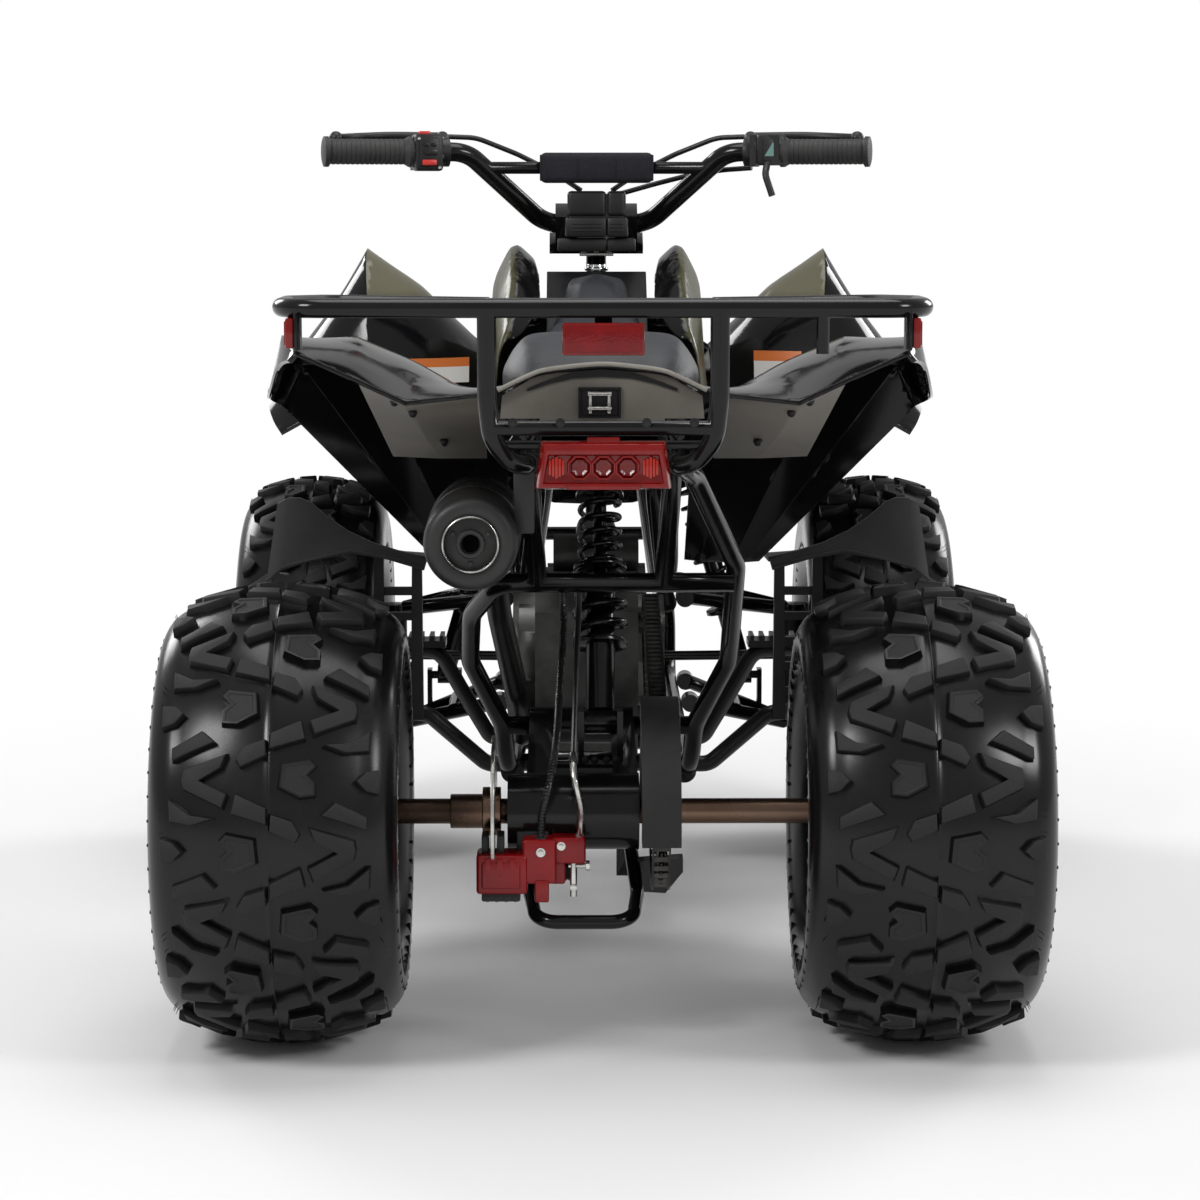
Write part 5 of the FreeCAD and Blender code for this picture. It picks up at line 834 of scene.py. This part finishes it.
# rear lamp and reflectors
lampLook = {
    "middle": 588.5,
    "back": -706.0,
    "front": -722.5,
    "halfTop": 58.0,
    "halfLow": 64.0,
    "tall": (611.0, 566.0),
    "rim": 3.4,
    "slope": 6,  # of the panel above the lenses
    "well": (1.2, 4.5),
    "ledges": [((-34, -725.4, 566.8), (34, -716, 572.6), 1.2), ((-15, -712, 606.4), (15, -700, 614.2), 1)],
    "floor": 4.4,  # behind the front face
    "domes": (-22.0, 0.0, 22.0),
    "domeUp": 587,
    "domeRadius": 11.6,
    "domeFace": 7.5,
    "sides": 43.5,
    "bars": 5,
}


def makeTailLight():
    look = lampLook
    high, low = look["tall"]
    bm = bmesh.new()
    corners = [(-look["halfTop"], high), (look["halfTop"], high), (look["halfLow"], low), (-look["halfLow"], low)]
    face = bm.faces.new([bm.verts.new((x, look["back"], z)) for x, z in corners])
    grown = thicken(bm, [face], (0, look["front"] - look["back"], 0))
    cap = facesOf(grown)
    bmesh.ops.scale(bm, verts=vertsOf(grown), vec=(0.94, 1, 0.9), space=Matrix.Translation((0, 0, -look["middle"])))
    bmesh.ops.recalc_face_normals(bm, faces=bm.faces)
    bmesh.ops.inset_region(bm, faces=cap, thickness=look["rim"], depth=0, use_even_offset=True)
    upper = [v for f in cap for v in f.verts if v.co.z > look["middle"]]
    bmesh.ops.translate(bm, verts=upper, vec=(0, 0, -look["slope"]))
    wall, deep = look["well"]
    bmesh.ops.inset_region(bm, faces=cap, thickness=wall, depth=-deep, use_even_offset=True)
    easeEdges(bm, sharpEdges(bm, 20), 0.9)
    blocks(bm, look["ledges"])
    floor, up = look["front"] + look["floor"], look["domeUp"]
    r = look["domeRadius"] - 0.6
    for x in look["domes"]:  # a raised eight-sided rim round each lens
        rim = [(x + r * math.cos(a), floor - 3.6, up + r * math.sin(a))
               for a in (math.radians(22.5 + 45 * step) for step in range(9))]
        for a, b in zip(rim, rim[1:]):
            rod(bm, a, b, 0.9, 8)
    addPiece(bm, "tailLightLens", "lensRed", "chassis", ["tail_light"], sharpAngle=30)

    bm = bmesh.new()
    for x in look["domes"]:
        made = bmesh.ops.create_cone(bm, cap_ends=True, segments=8, radius1=look["domeRadius"],
                                     radius2=look["domeFace"], depth=3.4,
                                     matrix=Matrix.Translation((x, floor - 1.6, up))
                                     @ Matrix.Rotation(math.pi / 2, 4, "X") @ Matrix.Rotation(math.pi / 8, 4, "Z"))
        front = [f for f in bm.faces if len(f.verts) == 8 and f.calc_center_median().y < floor - 3
                 and all(v in made["verts"] for v in f.verts)]
        bmesh.ops.inset_region(bm, faces=front, thickness=2.2, depth=-1.2)
    addPiece(bm, "tailLightBulbs", "lensDark", "chassis", sharpAngle=20)

    bm = bmesh.new()
    for side in (-1, 1):
        for part in range(look["bars"]):
            x, off = side * (look["sides"] - 6 + part * 3), abs(part - look["bars"] // 2)
            block(bm, (x - 1.4, floor - 3.2 + 0.5 * off, 577 + off * 1.4), (x + 1.4, floor + 1, 597 - off * 1.4), 0.9)
    addPiece(bm, "tailLightSides", "lensAmber", "chassis", sharpAngle=30)


makeTailLight()


reflectorLook = {
    "rims": [((-38, -711.5, 690), (38, -704.3, 720), 1.6), ((286.3, -703, 696), (294, -679, 724), 1.6),
             ((-294, -703, 696), (-286.3, -679, 724), 1.6)],
    "prisms": [((-35, -713, 693), (35, -709, 717), 1), ((-295.2, -700, 699), (-292.8, -682, 721), 0.6),
               ((292.8, -700, 699), (295.2, -682, 721), 0.6)],
    "plates": [((-36, -704.4, 692), (36, -701, 718), 1), ((-285.6, -706, 694), (-282.4, -676, 727), 1),
               ((282.4, -706, 694), (285.6, -676, 727), 1)],
    "bolts": [((-286, -691, 712), (1, 0, 0), 3.4), ((286, -691, 712), (-1, 0, 0), 3.4),
              ((0, -701, 712), (0, 1, 0), 3.2)],
}


def makeReflectors():
    bm = bmesh.new()
    blocks(bm, reflectorLook["rims"])
    addPiece(bm, "reflectorRims", "lensRed", "chassis", ["reflectors"], sharpAngle=30)
    bm = bmesh.new()
    blocks(bm, reflectorLook["prisms"])
    addPiece(bm, "reflectorPrisms", "reflectorRed", "chassis", sharpAngle=30)
    bm = bmesh.new()
    blocks(bm, reflectorLook["plates"])
    for at, way, radius in reflectorLook["bolts"]:
        bolt(bm, at, way, radius)
    addPiece(bm, "reflectorPlates", "powderCoat", "chassis")


makeReflectors()
print("silencer, lamp and reflectors")


# tail panel, drain plugs and labels
tailLook = {
    "recessTop": [(-72, 653), (-58, 659), (-30, 668), (0, 671.5), (30, 668), (58, 659), (72, 653)],
    "recessLow": [(-72, 650), (-50, 657.5), (-28, 662.5), (0, 664), (28, 662.5), (50, 657.5), (72, 650)],
    "face": -592.4,
    "lip": [(-100, 651.5), (-82, 660.5), (-70, 666), (-58, 671), (-30, 674.5), (0, 677.3), (30, 674.5), (58, 671),
            (70, 666), (82, 660.5), (100, 651.5)],
    "recessThick": 1.2,
    "lipBack": -599.3,
    "lipRadius": 2.3,
    "latchFrame": [((-23, -595.5, 624.5), (-20.5, -585, 654), 0.8), ((15.5, -595.5, 624.5), (18, -585, 654), 0.8),
                   ((-23, -595.5, 651.5), (18, -585, 654), 0.8), ((-23, -595.5, 624.5), (18, -585, 626.5), 0.8),
                   ((-22, -593.6, 625.5), (17, -590, 653), 0.3)],
    "latchBars": [((-13, -595.5, 629), (-10, -592, 649), 0.8), ((5, -595.5, 629), (8, -592, 649), 0.8),
                  ((-14, -595.8, 646), (9, -592.5, 650), 0.8)],
    "latchPin": ((-14, -595.5, 634), (9, -595.5, 634), 1.8, 12, 0.4),
    "plugRadius": 5,
    "plugStretch": (0.95, 1.1, 1.05),
    "plugs": [(-216, -579, 652), (-200, -580, 640), (-183, -571, 628.6), (-157, -456, 592)],
}


def makeTail():
    look = tailLook
    bm = bmesh.new()
    top = [bm.verts.new((x, look["face"], z)) for x, z in look["recessTop"]]
    low = [bm.verts.new((x, look["face"], z)) for x, z in look["recessLow"]]
    edges = [bm.edges.new(pair) for line in (top, low) for pair in zip(line, line[1:])]
    faces = bmesh.ops.bridge_loops(bm, edges=edges)["faces"]
    thicken(bm, faces, (0, -look["recessThick"], 0))
    blocks(bm, look["latchFrame"])
    addPiece(bm, "tailRecess", "undersidePlastic", "chassis")
    bm = bmesh.new()
    # the lip is a real rolled edge; its pale grey, lighter than the liner, is a painted highlight along it
    pipe(bm, [(x, look["lipBack"], z) for x, z in look["lip"]], look["lipRadius"])
    addPiece(bm, "tailLip", "paleLipHighlight", "chassis")
    bm = bmesh.new()
    blocks(bm, look["latchBars"])
    rod(bm, *look["latchPin"])
    addPiece(bm, "seatLatch", "groundSteel", "chassis")
    bm = bmesh.new()
    for x, y, z in look["plugs"]:
        for side in (-1, 1):
            made = bmesh.ops.create_uvsphere(bm, u_segments=14, v_segments=8, radius=look["plugRadius"])["verts"]
            bmesh.ops.scale(bm, verts=made, vec=look["plugStretch"])
            bmesh.ops.translate(bm, verts=made, vec=(-side * x, y, z))
    addPiece(bm, "linerPlugs", "undersidePlastic", "chassis")


makeTail()


labelLook = {
    "left": {"across": (-239, -153), "up": (613, 642), "split": 631.5},
    "right": {"across": (190, 246), "up": (606, 651), "split": 639},
    "stand": 0.5,
    "thick": 0.4,
    "behind": -400,  # where the rays toward the panel start
}


def makeLabels():
    bm = mergedCopy("front_body")
    panel = BVHTree.FromBMesh(bm)
    bm.free()
    for word in ("left", "right"):
        look = labelLook[word]
        (x0, x1), (z0, z1), split = look["across"], look["up"], look["split"]
        for part, low, high, finish in (("Top", split, z1, "labelOrange"), ("Low", z0, split, "labelWhite")):
            bm = bmesh.new()
            grid = bmesh.ops.create_grid(bm, x_segments=16, y_segments=6, size=0.5)["verts"]
            bmesh.ops.rotate(bm, verts=grid, cent=(0, 0, 0), matrix=Matrix.Rotation(math.pi / 2, 3, "X"))
            bmesh.ops.scale(bm, verts=grid, vec=(x1 - x0, 1, high - low))
            bmesh.ops.translate(bm, verts=grid, vec=((x0 + x1) / 2, 0, (low + high) / 2))
            missed = []
            for v in bm.verts:
                start = Vector((v.co.x, labelLook["behind"], v.co.z)) * mm
                hit = panel.ray_cast(start, Vector((0, 1, 0)))[0]
                if hit:
                    v.co = hit / mm - Vector((0, 1, 0)) * labelLook["stand"]
                else:
                    missed.append(v)
            bmesh.ops.delete(bm, geom=missed, context="VERTS")
            thicken(bm, bm.faces[:], (0, labelLook["thick"], 0))
            addPiece(bm, f"fenderLabel{word.capitalize()}{part}", finish, "chassis")


makeLabels()
print("tail panel, plugs and labels")


# seat: the moulded core is shrunk a little, blown up as cloth, capped, then given its sewn channels
seatLook = {
    "voxel": 5.0,
    "shrink": 2.5,
    "pressure": 4.0,
    "cap": 6.0,
    "frames": 20,
    "clothQuality": 6,
    "smoothing": 3,
    "ribs": [-360, -300, -240, -180],  # the sewn channels, half width, depth, and how high they begin in metres
    "ribHalf": 7,
    "ribDeep": 2.2,
    "ribFrom": 0.655,
}


def makeSeat():
    look = seatLook
    bm = mergedCopy("seat")
    bmesh.ops.recalc_face_normals(bm, faces=bm.faces)
    for v, n in [(v, v.normal.copy()) for v in bm.verts]:
        v.co -= n * look["shrink"] * mm
    mesh = bpy.data.meshes.new("seatCushion")
    bm.to_mesh(mesh)
    bm.free()
    cushion = bpy.data.objects.new("seatCushion", mesh)
    scene = bpy.context.scene
    scene.collection.objects.link(cushion)
    grid = cushion.modifiers.new("grid", "REMESH")
    grid.mode = "VOXEL"
    grid.voxel_size = look["voxel"] * mm
    bpy.context.view_layer.update()
    remeshed = bpy.data.meshes.new_from_object(cushion.evaluated_get(bpy.context.evaluated_depsgraph_get()))
    cushion.modifiers.clear()
    cushion.data = remeshed
    start = [v.co.copy() for v in remeshed.vertices]
    cloth = cushion.modifiers.new("cover", "CLOTH")
    cloth.settings.use_pressure = True
    cloth.settings.uniform_pressure_force = look["pressure"]
    cloth.settings.effector_weights.gravity = 0
    cloth.settings.quality = look["clothQuality"]
    cloth.point_cache.frame_start = 1
    cloth.point_cache.frame_end = look["frames"]
    for step in range(1, look["frames"] + 1):
        scene.frame_set(step)
    blown = bpy.data.meshes.new_from_object(cushion.evaluated_get(bpy.context.evaluated_depsgraph_get()))
    cushion.modifiers.clear()
    scene.frame_set(1)
    for vertex, before in zip(blown.vertices, start):
        move = vertex.co - before
        if move.length > look["cap"] * mm:
            vertex.co = before + move.normalized() * look["cap"] * mm
    cushion.data = blown
    bm = bmesh.new()
    bm.from_mesh(cushion.data)
    bpy.data.objects.remove(cushion)
    smoothed(bm, bm.verts, look["smoothing"])
    low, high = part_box("seat")
    for v in bm.verts:
        for y in look["ribs"]:
            near = abs(v.co.y / mm - y)
            if near < look["ribHalf"] and v.co.z > look["ribFrom"]:
                v.co.z -= look["ribDeep"] * mm * (1 - near / look["ribHalf"]) ** 2
        v.co.z = max(v.co.z, low.z)
    seat = addPiece(bm, "seatCover", "seatCover", "chassis", ["seat"], sharpAngle=180, inMm=False,
                    tidyNormals=False)
    smooth = seat.modifiers.new("smooth", "SUBSURF")
    smooth.levels = 1
    smooth.render_levels = 1


makeSeat()
print("seat")


# rear caliper with its pin, and the two hoses that lead to it
brakeLook = {
    "ribs": [((-115, -589.5, 176), (-109, -586, 194), 1.2), ((-103, -589.5, 176), (-97, -586, 194), 1.2),
             ((-91, -589.5, 176), (-85, -586, 194), 1.2)],
    "bootEnd": (-38, 0),
    "blackBlocks": [((-118, -583, 150), (-80, -556, 159), 2), ((-103, -576, 196), (-96, -545, 214), 1),
                    ((-118, -576, 196), (-111, -545, 214), 1), ((-84, -560, 190), (-52, -535, 216), 2)],
    "blackRods": [((x, -584, 153), (x, -576, 153), 3, 12, 0.5) for x in (-112, -103, -94, -85)]
                 + [((-60, -577, 216), (-60, -577, 205), 5.5, 6, 0.6)],
    "steelBlocks": [((-31.5, -577, 160), (-24.5, -567, 166), 1)],
    "steelRods": [((-28, -572, 153), (-28, -572, 194), 3.6, 16, 0.6),
                  ((-33, -572, 184), (-14, -572, 184), 2.6, 12, 0.4),
                  ((-16, -572, 184), (-12, -572, 184), 5.2, 6, 0.6),
                  ((-22, -566, 215), (-22, -566, 207), 4.8, 6, 0.5)],
    "bolts": [((-60, -587, 200), 3.2, 2.5), ((-40, -580.5, 205), 3.0, 2.0)],
    "hoseEnd": ((-28, -572, 295), (-28, -581, 287), 4.3, 14, 0.6),
    "wrapRadius": 3.9,
    "wrapWide": 1.7,
    "red": [
        ((-123, -587, 158), (-73, -545, 197), 3.5),
        ((-118, -589, 164), (-80, -584, 190), 2.0),
        ((-78, -585, 168), (-45, -537, 212), 3.0),
        ((-66, -587, 150), (-52, -560, 172), 2.0),
        ((-50, -580, 187), (-16, -547, 213), 3.0),
        ((-50, -576, 166), (-36, -548, 192), 2.5),
    ],
    "boot": [(-38, 10.5), (-36, 11.5), (-34, 9.5), (-32, 11), (-30, 9), (-28, 10.5), (-26, 8), (-25, 0)],
    "bootCentre": (0, -562, 178),
    "outerHose": [(-38, -402, 434), (-38, -404, 416), (-38, -430, 390), (-42, -480, 345), (-44, -550, 305),
                  (-52, -590, 262), (-60, -588, 236), (-60, -577, 211)],
    "innerHose": [(-22, -402, 434), (-22, -404, 416), (-24, -436, 386), (-26, -490, 340), (-27, -540, 315),
                  (-28, -575, 292)],
    "innerPipe": [(-28, -573, 294), (-29, -590, 280), (-24, -594, 262), (-20, -588, 244), (-21, -572, 228),
                  (-22, -566, 210)],
    "wrapStep": 3.4,
}


def makeBrake():
    look = brakeLook
    bm = bmesh.new()
    for low, high, ease in look["red"]:
        block(bm, low, high, ease, 3)
    blocks(bm, look["ribs"])
    addPiece(bm, "brakeCaliper", "caliperRed", "chassis", ["brake_caliper"], sharpAngle=35)
    bm = bmesh.new()
    spun(bm, [look["bootEnd"]] + look["boot"], look["bootCentre"], "X", 28)
    blocks(bm, look["blackBlocks"])
    rods(bm, look["blackRods"])
    addPiece(bm, "caliperBoot", "mouldedPlastic", "chassis")
    bm = bmesh.new()
    blocks(bm, look["steelBlocks"])
    rods(bm, look["steelRods"])
    pipe(bm, look["innerPipe"], 3.1, 4)
    for at, radius, height in look["bolts"]:
        bolt(bm, at, (0, -1, 0), radius, height)
    addPiece(bm, "caliperPin", "groundSteel", "chassis", sharpAngle=30)
    bm = bmesh.new()
    pipe(bm, look["outerHose"], 3.0)
    pipe(bm, look["innerHose"], 2.9)
    line = pipe(bm, look["outerHose"], 0, bevelled=False)
    gone = 0.0
    for a, b in zip(line, line[1:]):
        way = b - a
        while gone < way.length:
            at = a + way.normalized() * gone
            rod(bm, at, at + way.normalized() * look["wrapWide"], look["wrapRadius"], 12)
            gone += look["wrapStep"]
        gone -= way.length
    rod(bm, *look["hoseEnd"])
    addPiece(bm, "brakeHoses", "cableSheath", "chassis", ["brake_lines"], sharpAngle=30)


makeBrake()
print("caliper and hoses")


# handlebar controls
barLook = {
    "end": (305, 62, 886),
    "rise": (150, 100, 886),
    "grip": [(-8, 0), (-8, 14), (-7, 17.3), (-2, 17.5), (-1, 16), (0, 14.6)],
    "gripRibs": 15,
    "gripLength": 92,
}


def alongBar(distance, side=1):
    end, rise = Vector(barLook["end"]), Vector(barLook["rise"])
    way = (rise - end).normalized()
    at = end + way * distance
    return Vector((at.x * side, at.y, at.z)), Vector((way.x * side, way.y, way.z))


def makeGrips():
    bm = bmesh.new()
    for side in (-1, 1):
        part = bmesh.new()
        outline = list(barLook["grip"])
        step = (barLook["gripLength"] - 8) / barLook["gripRibs"]
        for i in range(barLook["gripRibs"]):
            z = 1 + i * step
            outline += [(z, 14.0), (z + step * 0.25, 14.6), (z + step * 0.8, 14.6), (z + step * 0.95, 14.0)]
        z = barLook["gripLength"]
        outline += [(z - 6, 14.6), (z - 4, 15.5), (z - 1, 17.4), (z + 4, 17.5), (z + 5, 16), (z + 5, 11.4)]
        spun(part, outline, (0, 0, 0), "Z", 36)
        at, way = alongBar(0, side)
        bmesh.ops.rotate(part, verts=part.verts, cent=(0, 0, 0), matrix=way.to_track_quat("Z", "Y").to_matrix())
        bmesh.ops.translate(part, verts=part.verts, vec=at)
        holder = bpy.data.meshes.new("grip")
        part.to_mesh(holder)
        part.free()
        bm.from_mesh(holder)
        bpy.data.meshes.remove(holder)
    addPiece(bm, "handGrips", "gripRubber", "steering", ["grips"], sharpAngle=30)


# boxes along the bar, from its left or right end piece
switchLook = {
    "from": 112,
    "housing": [((-16.5, -20.5, -22), (16.5, 6, 20.5), 4), ((-12, -22, -17), (12, -18, 16), 1.5),
                ((-18, -12, -18), (-15, 12, 17), 1), ((-17.5, -19, -1.2), (17.5, 0, -0.2), 0.3)],
    "buttons": [((-11, -17, 19), (2, -7, 23.5), 1.2), ((-9, -24.5, -15.5), (8, -21, -9), 1.4)],
    "sliders": [((-7, -24, -4), (9, -21.5, 3), 1), ((-7, -24, 6), (-1, -21.5, 10), 0.8),
                ((2, -24, 6), (8, -21.5, 10), 0.8)],
    "throttle": [((-17.5, -20, -15.5), (17.5, 8, 19.8), 4), ((-12, -21.5, -11), (12, -18, 15), 2),
                 ((-18.2, -17, 1.4), (18.2, 2, 2.4), 0.3)],
    "screws": [(-12, -20.6, 15), (12, -20.6, -18)],
    "sticker": [(-10, -21.9, -5), (10, -21.9, -5), (0, -21.9, 11)],
    "perchFrom": 130,
    "perchBolts": [((0, -4, 13.4), (0, -0.3, 1), 2.8, 3), ((0, -15.5, -5), (0, -1, -0.2), 2.6, 2.5)],
    "perchPin": ((0, 36, 12), (0, 36, 23.8), 3.4),
}


def makeSwitches():
    look = switchLook
    way = alongBar(0, -1)[1]
    turn = Vector((1, 0, 0)).rotation_difference(way if way.x > 0 else -way).to_matrix()
    left, right = [alongBar(look["from"], side)[0] for side in (-1, 1)]

    def turned(at, rows):
        bm = bmesh.new()
        for low, high, ease in rows:
            size = Vector(high) - Vector(low)
            spot = at + turn @ ((Vector(low) + Vector(high)) / 2)
            block(bm, spot - size / 2, spot + size / 2, ease, 2, turn=turn)
        return bm

    addPiece(turned(left, look["housing"]), "switchHousing", "mouldedPlastic", "steering",
             sharpAngle=30)
    addPiece(turned(left, look["buttons"]), "switchButtons", "buttonRed", "steering")
    addPiece(turned(left, look["sliders"]), "switchSliders", "satinSteel", "steering")
    bm = bmesh.new()
    for corner in look["screws"]:
        at = left + turn @ Vector(corner)
        rod(bm, at, at + Vector((0, -1.6, 0)), 2, 6, 0.3)
    low, high, radius = look["perchPin"]
    for side in (-1, 1):
        perch = alongBar(look["perchFrom"], side)[0]
        for at, aimed, *size in look["perchBolts"]:
            bolt(bm, perch + Vector(at), aimed, *size)
        rod(bm, perch + Vector(low), perch + Vector(high), radius, 14, 0.6)
    addPiece(bm, "controlBolts", "chrome", "steering", sharpAngle=30)

    addPiece(turned(right, look["throttle"]), "throttleHousing", "mouldedPlastic", "steering",
             sharpAngle=30)
    bm = bmesh.new()
    face = bm.faces.new([bm.verts.new(right + turn @ Vector(corner)) for corner in look["sticker"]])
    thicken(bm, [face], (0, 0.8, 0))
    addPiece(bm, "throttleSticker", "stickerGreen", "steering")


padLook = [((-65.5, 98.5, 850.5), (65.5, 131.5, 885.5), 7, 4), ((-65.7, 101, 853), (-63.3, 129, 883), 0.8),
           ((63.3, 101, 853), (65.7, 129, 883), 0.8), ((-22.6, 97.9, 858), (-21.4, 98.9, 878), 0.2),
           ((21.4, 97.9, 858), (22.6, 98.9, 878), 0.2)]
nacelleLook = {
    # y is counted from the face and from the back
    "covers": [((-34, 2, 812), (11.2, 0, 841.5), 4.5, 3), ((12.2, 2, 812), (34, 0, 841.5), 4.5, 3),
               ((-36.5, 0, 788), (11.2, 0, 811), 3, 2), ((12.2, 0, 788), (36.5, 0, 811), 3, 2),
               ((-32, 5, 790), (32, -1, 838), 2, 2), ((-45.5, 9, 771.5), (11.2, 0, 787), 2.5, 2),
               ((12.2, 9, 771.5), (45.5, 0, 787), 2.5, 2)],
    "louvres": [795, 799, 803],
    "louvreEnds": [(-28, 6), (15, 31)],
}
clampLook = {
    "plate": ((-20, 136, 766), (20, 150, 770), 1),
    "pin": ((0, 142, 766), (0, 142, 780), 3.4, 6, 0.5),
    "bolts": [(-15, 143, 769.5), (15, 143, 769.5)],
}


def makePadAndNacelle():
    bm = bmesh.new()
    blocks(bm, padLook)
    addPiece(bm, "barPad", "padCloth", "steering", ["bar_pad"], sharpAngle=50)
    bm = bmesh.new()
    low, high = [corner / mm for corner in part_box("nacelle")]
    face, back = low.y, high.y
    for (x0, fromFace, z0), (x1, fromBack, z1), ease, segments in nacelleLook["covers"]:
        block(bm, (x0, face + fromFace, z0), (x1, back + fromBack, z1), ease, segments)
    for z in nacelleLook["louvres"]:
        for x0, x1 in nacelleLook["louvreEnds"]:
            block(bm, (x0, face - 0.8, z), (x1, face + 1, z + 1.6), 0.4)
    addPiece(bm, "nacelleCover", "mouldedPlastic", "steering", ["nacelle"], sharpAngle=30)
    bm = bmesh.new()
    block(bm, *clampLook["plate"])
    rod(bm, *clampLook["pin"])
    for at in clampLook["bolts"]:
        bolt(bm, at, (0, 0, 1), 3.6, 3)
    addPiece(bm, "stemClamp", "groundSteel", "steering", sharpAngle=30)


makeGrips()
makeSwitches()
makePadAndNacelle()
print("handlebar controls")


# front lamps
headLook = {"bulbs": [(150, 518, 15.5), (196, 517, 15.0)], "face": 706}


def makeHeadlights():
    skin("headlights", "undersidePlastic", 0.001)
    bm = bmesh.new()
    glass = bmesh.new()
    for x, z, radius in headLook["bulbs"]:
        y = headLook["face"] - (x - 150) * 0.06
        bowl = [(y + 4.5, radius), (y + 5.5, radius - 1), (y + 4.5, radius - 2), (y - 2, radius - 7), (y - 3, 3.5),
                (y + 1, 3), (y + 2, 0)]
        spun(bm, bowl, (x, 0, z), "Y", 36)
        rim = [(y + 5.2, radius + 1.6), (y + 6.4, radius + 1), (y + 6.4, radius - 0.4), (y + 5.0, radius - 0.8)]
        spun(glass, rim + [rim[0]], (x, 0, z), "Y", 36)
    bothSides(bm)
    bothSides(glass)
    addPiece(bm, "headlightBowls", "chrome", "chassis", sharpAngle=40)
    addPiece(glass, "headlightRims", "clearLens", "chassis", sharpAngle=30)


makeHeadlights()


# small hardware
hardwareLook = {
    "lampBar": ([(x, -711, 628) for x in (-84, -40, 40, 84)], 3.2, 2),
    "crossPlate": ([(x, -413.5, 262) for x in (-16, -6, 6, 16)], 2.8, 2.4),
}


def makeHardware():
    bm = bmesh.new()
    for points, radius, height in hardwareLook.values():
        for at in points:
            bolt(bm, at, (0, -1, 0), radius, height)
    addPiece(bm, "rearBolts", "satinSteel", "chassis", sharpAngle=30)


makeHardware()
print("lamps and hardware")


# the rest keeps its CAD form; edges are eased by this many metres, at 0 they stay as they are
skins = {
    "rear_rims": 0.0, "axle_shaft": 0.0006, "brake_disc": 0.0004, "rear_sprocket": 0.0, "frame": 0.0,
    "front_bumper": 0.0, "engine": 0.0, "exhaust_pipe": 0.0, "swing_arm": 0.0, "dampers": 0.0006,
    "front_arms": 0.0, "knuckle_left": 0.0006, "knuckle_right": 0.0006, "front_rim_left": 0.0, "front_rim_right": 0.0,
    "chain": 0.0, "chain_guard": 0.003, "rear_body": 0.0, "fender_liners": 0.0006, "front_body": 0.0,
    "nose_mask": 0.0, "tank_shrouds": 0.0, "tank": 0.003, "fuel_cap": 0.0008, "rack": 0.0, "footrests": 0.0,
    "heel_guards": 0.001, "steering_stem": 0.001, "handlebar": 0.0, "hand_controls": 0.0, "control_cables": 0.0,
    "tie_rod_left": 0.0008, "tie_rod_right": 0.0008,
}
for node, ease in skins.items():
    skin(node, ease=ease)
print("skins")
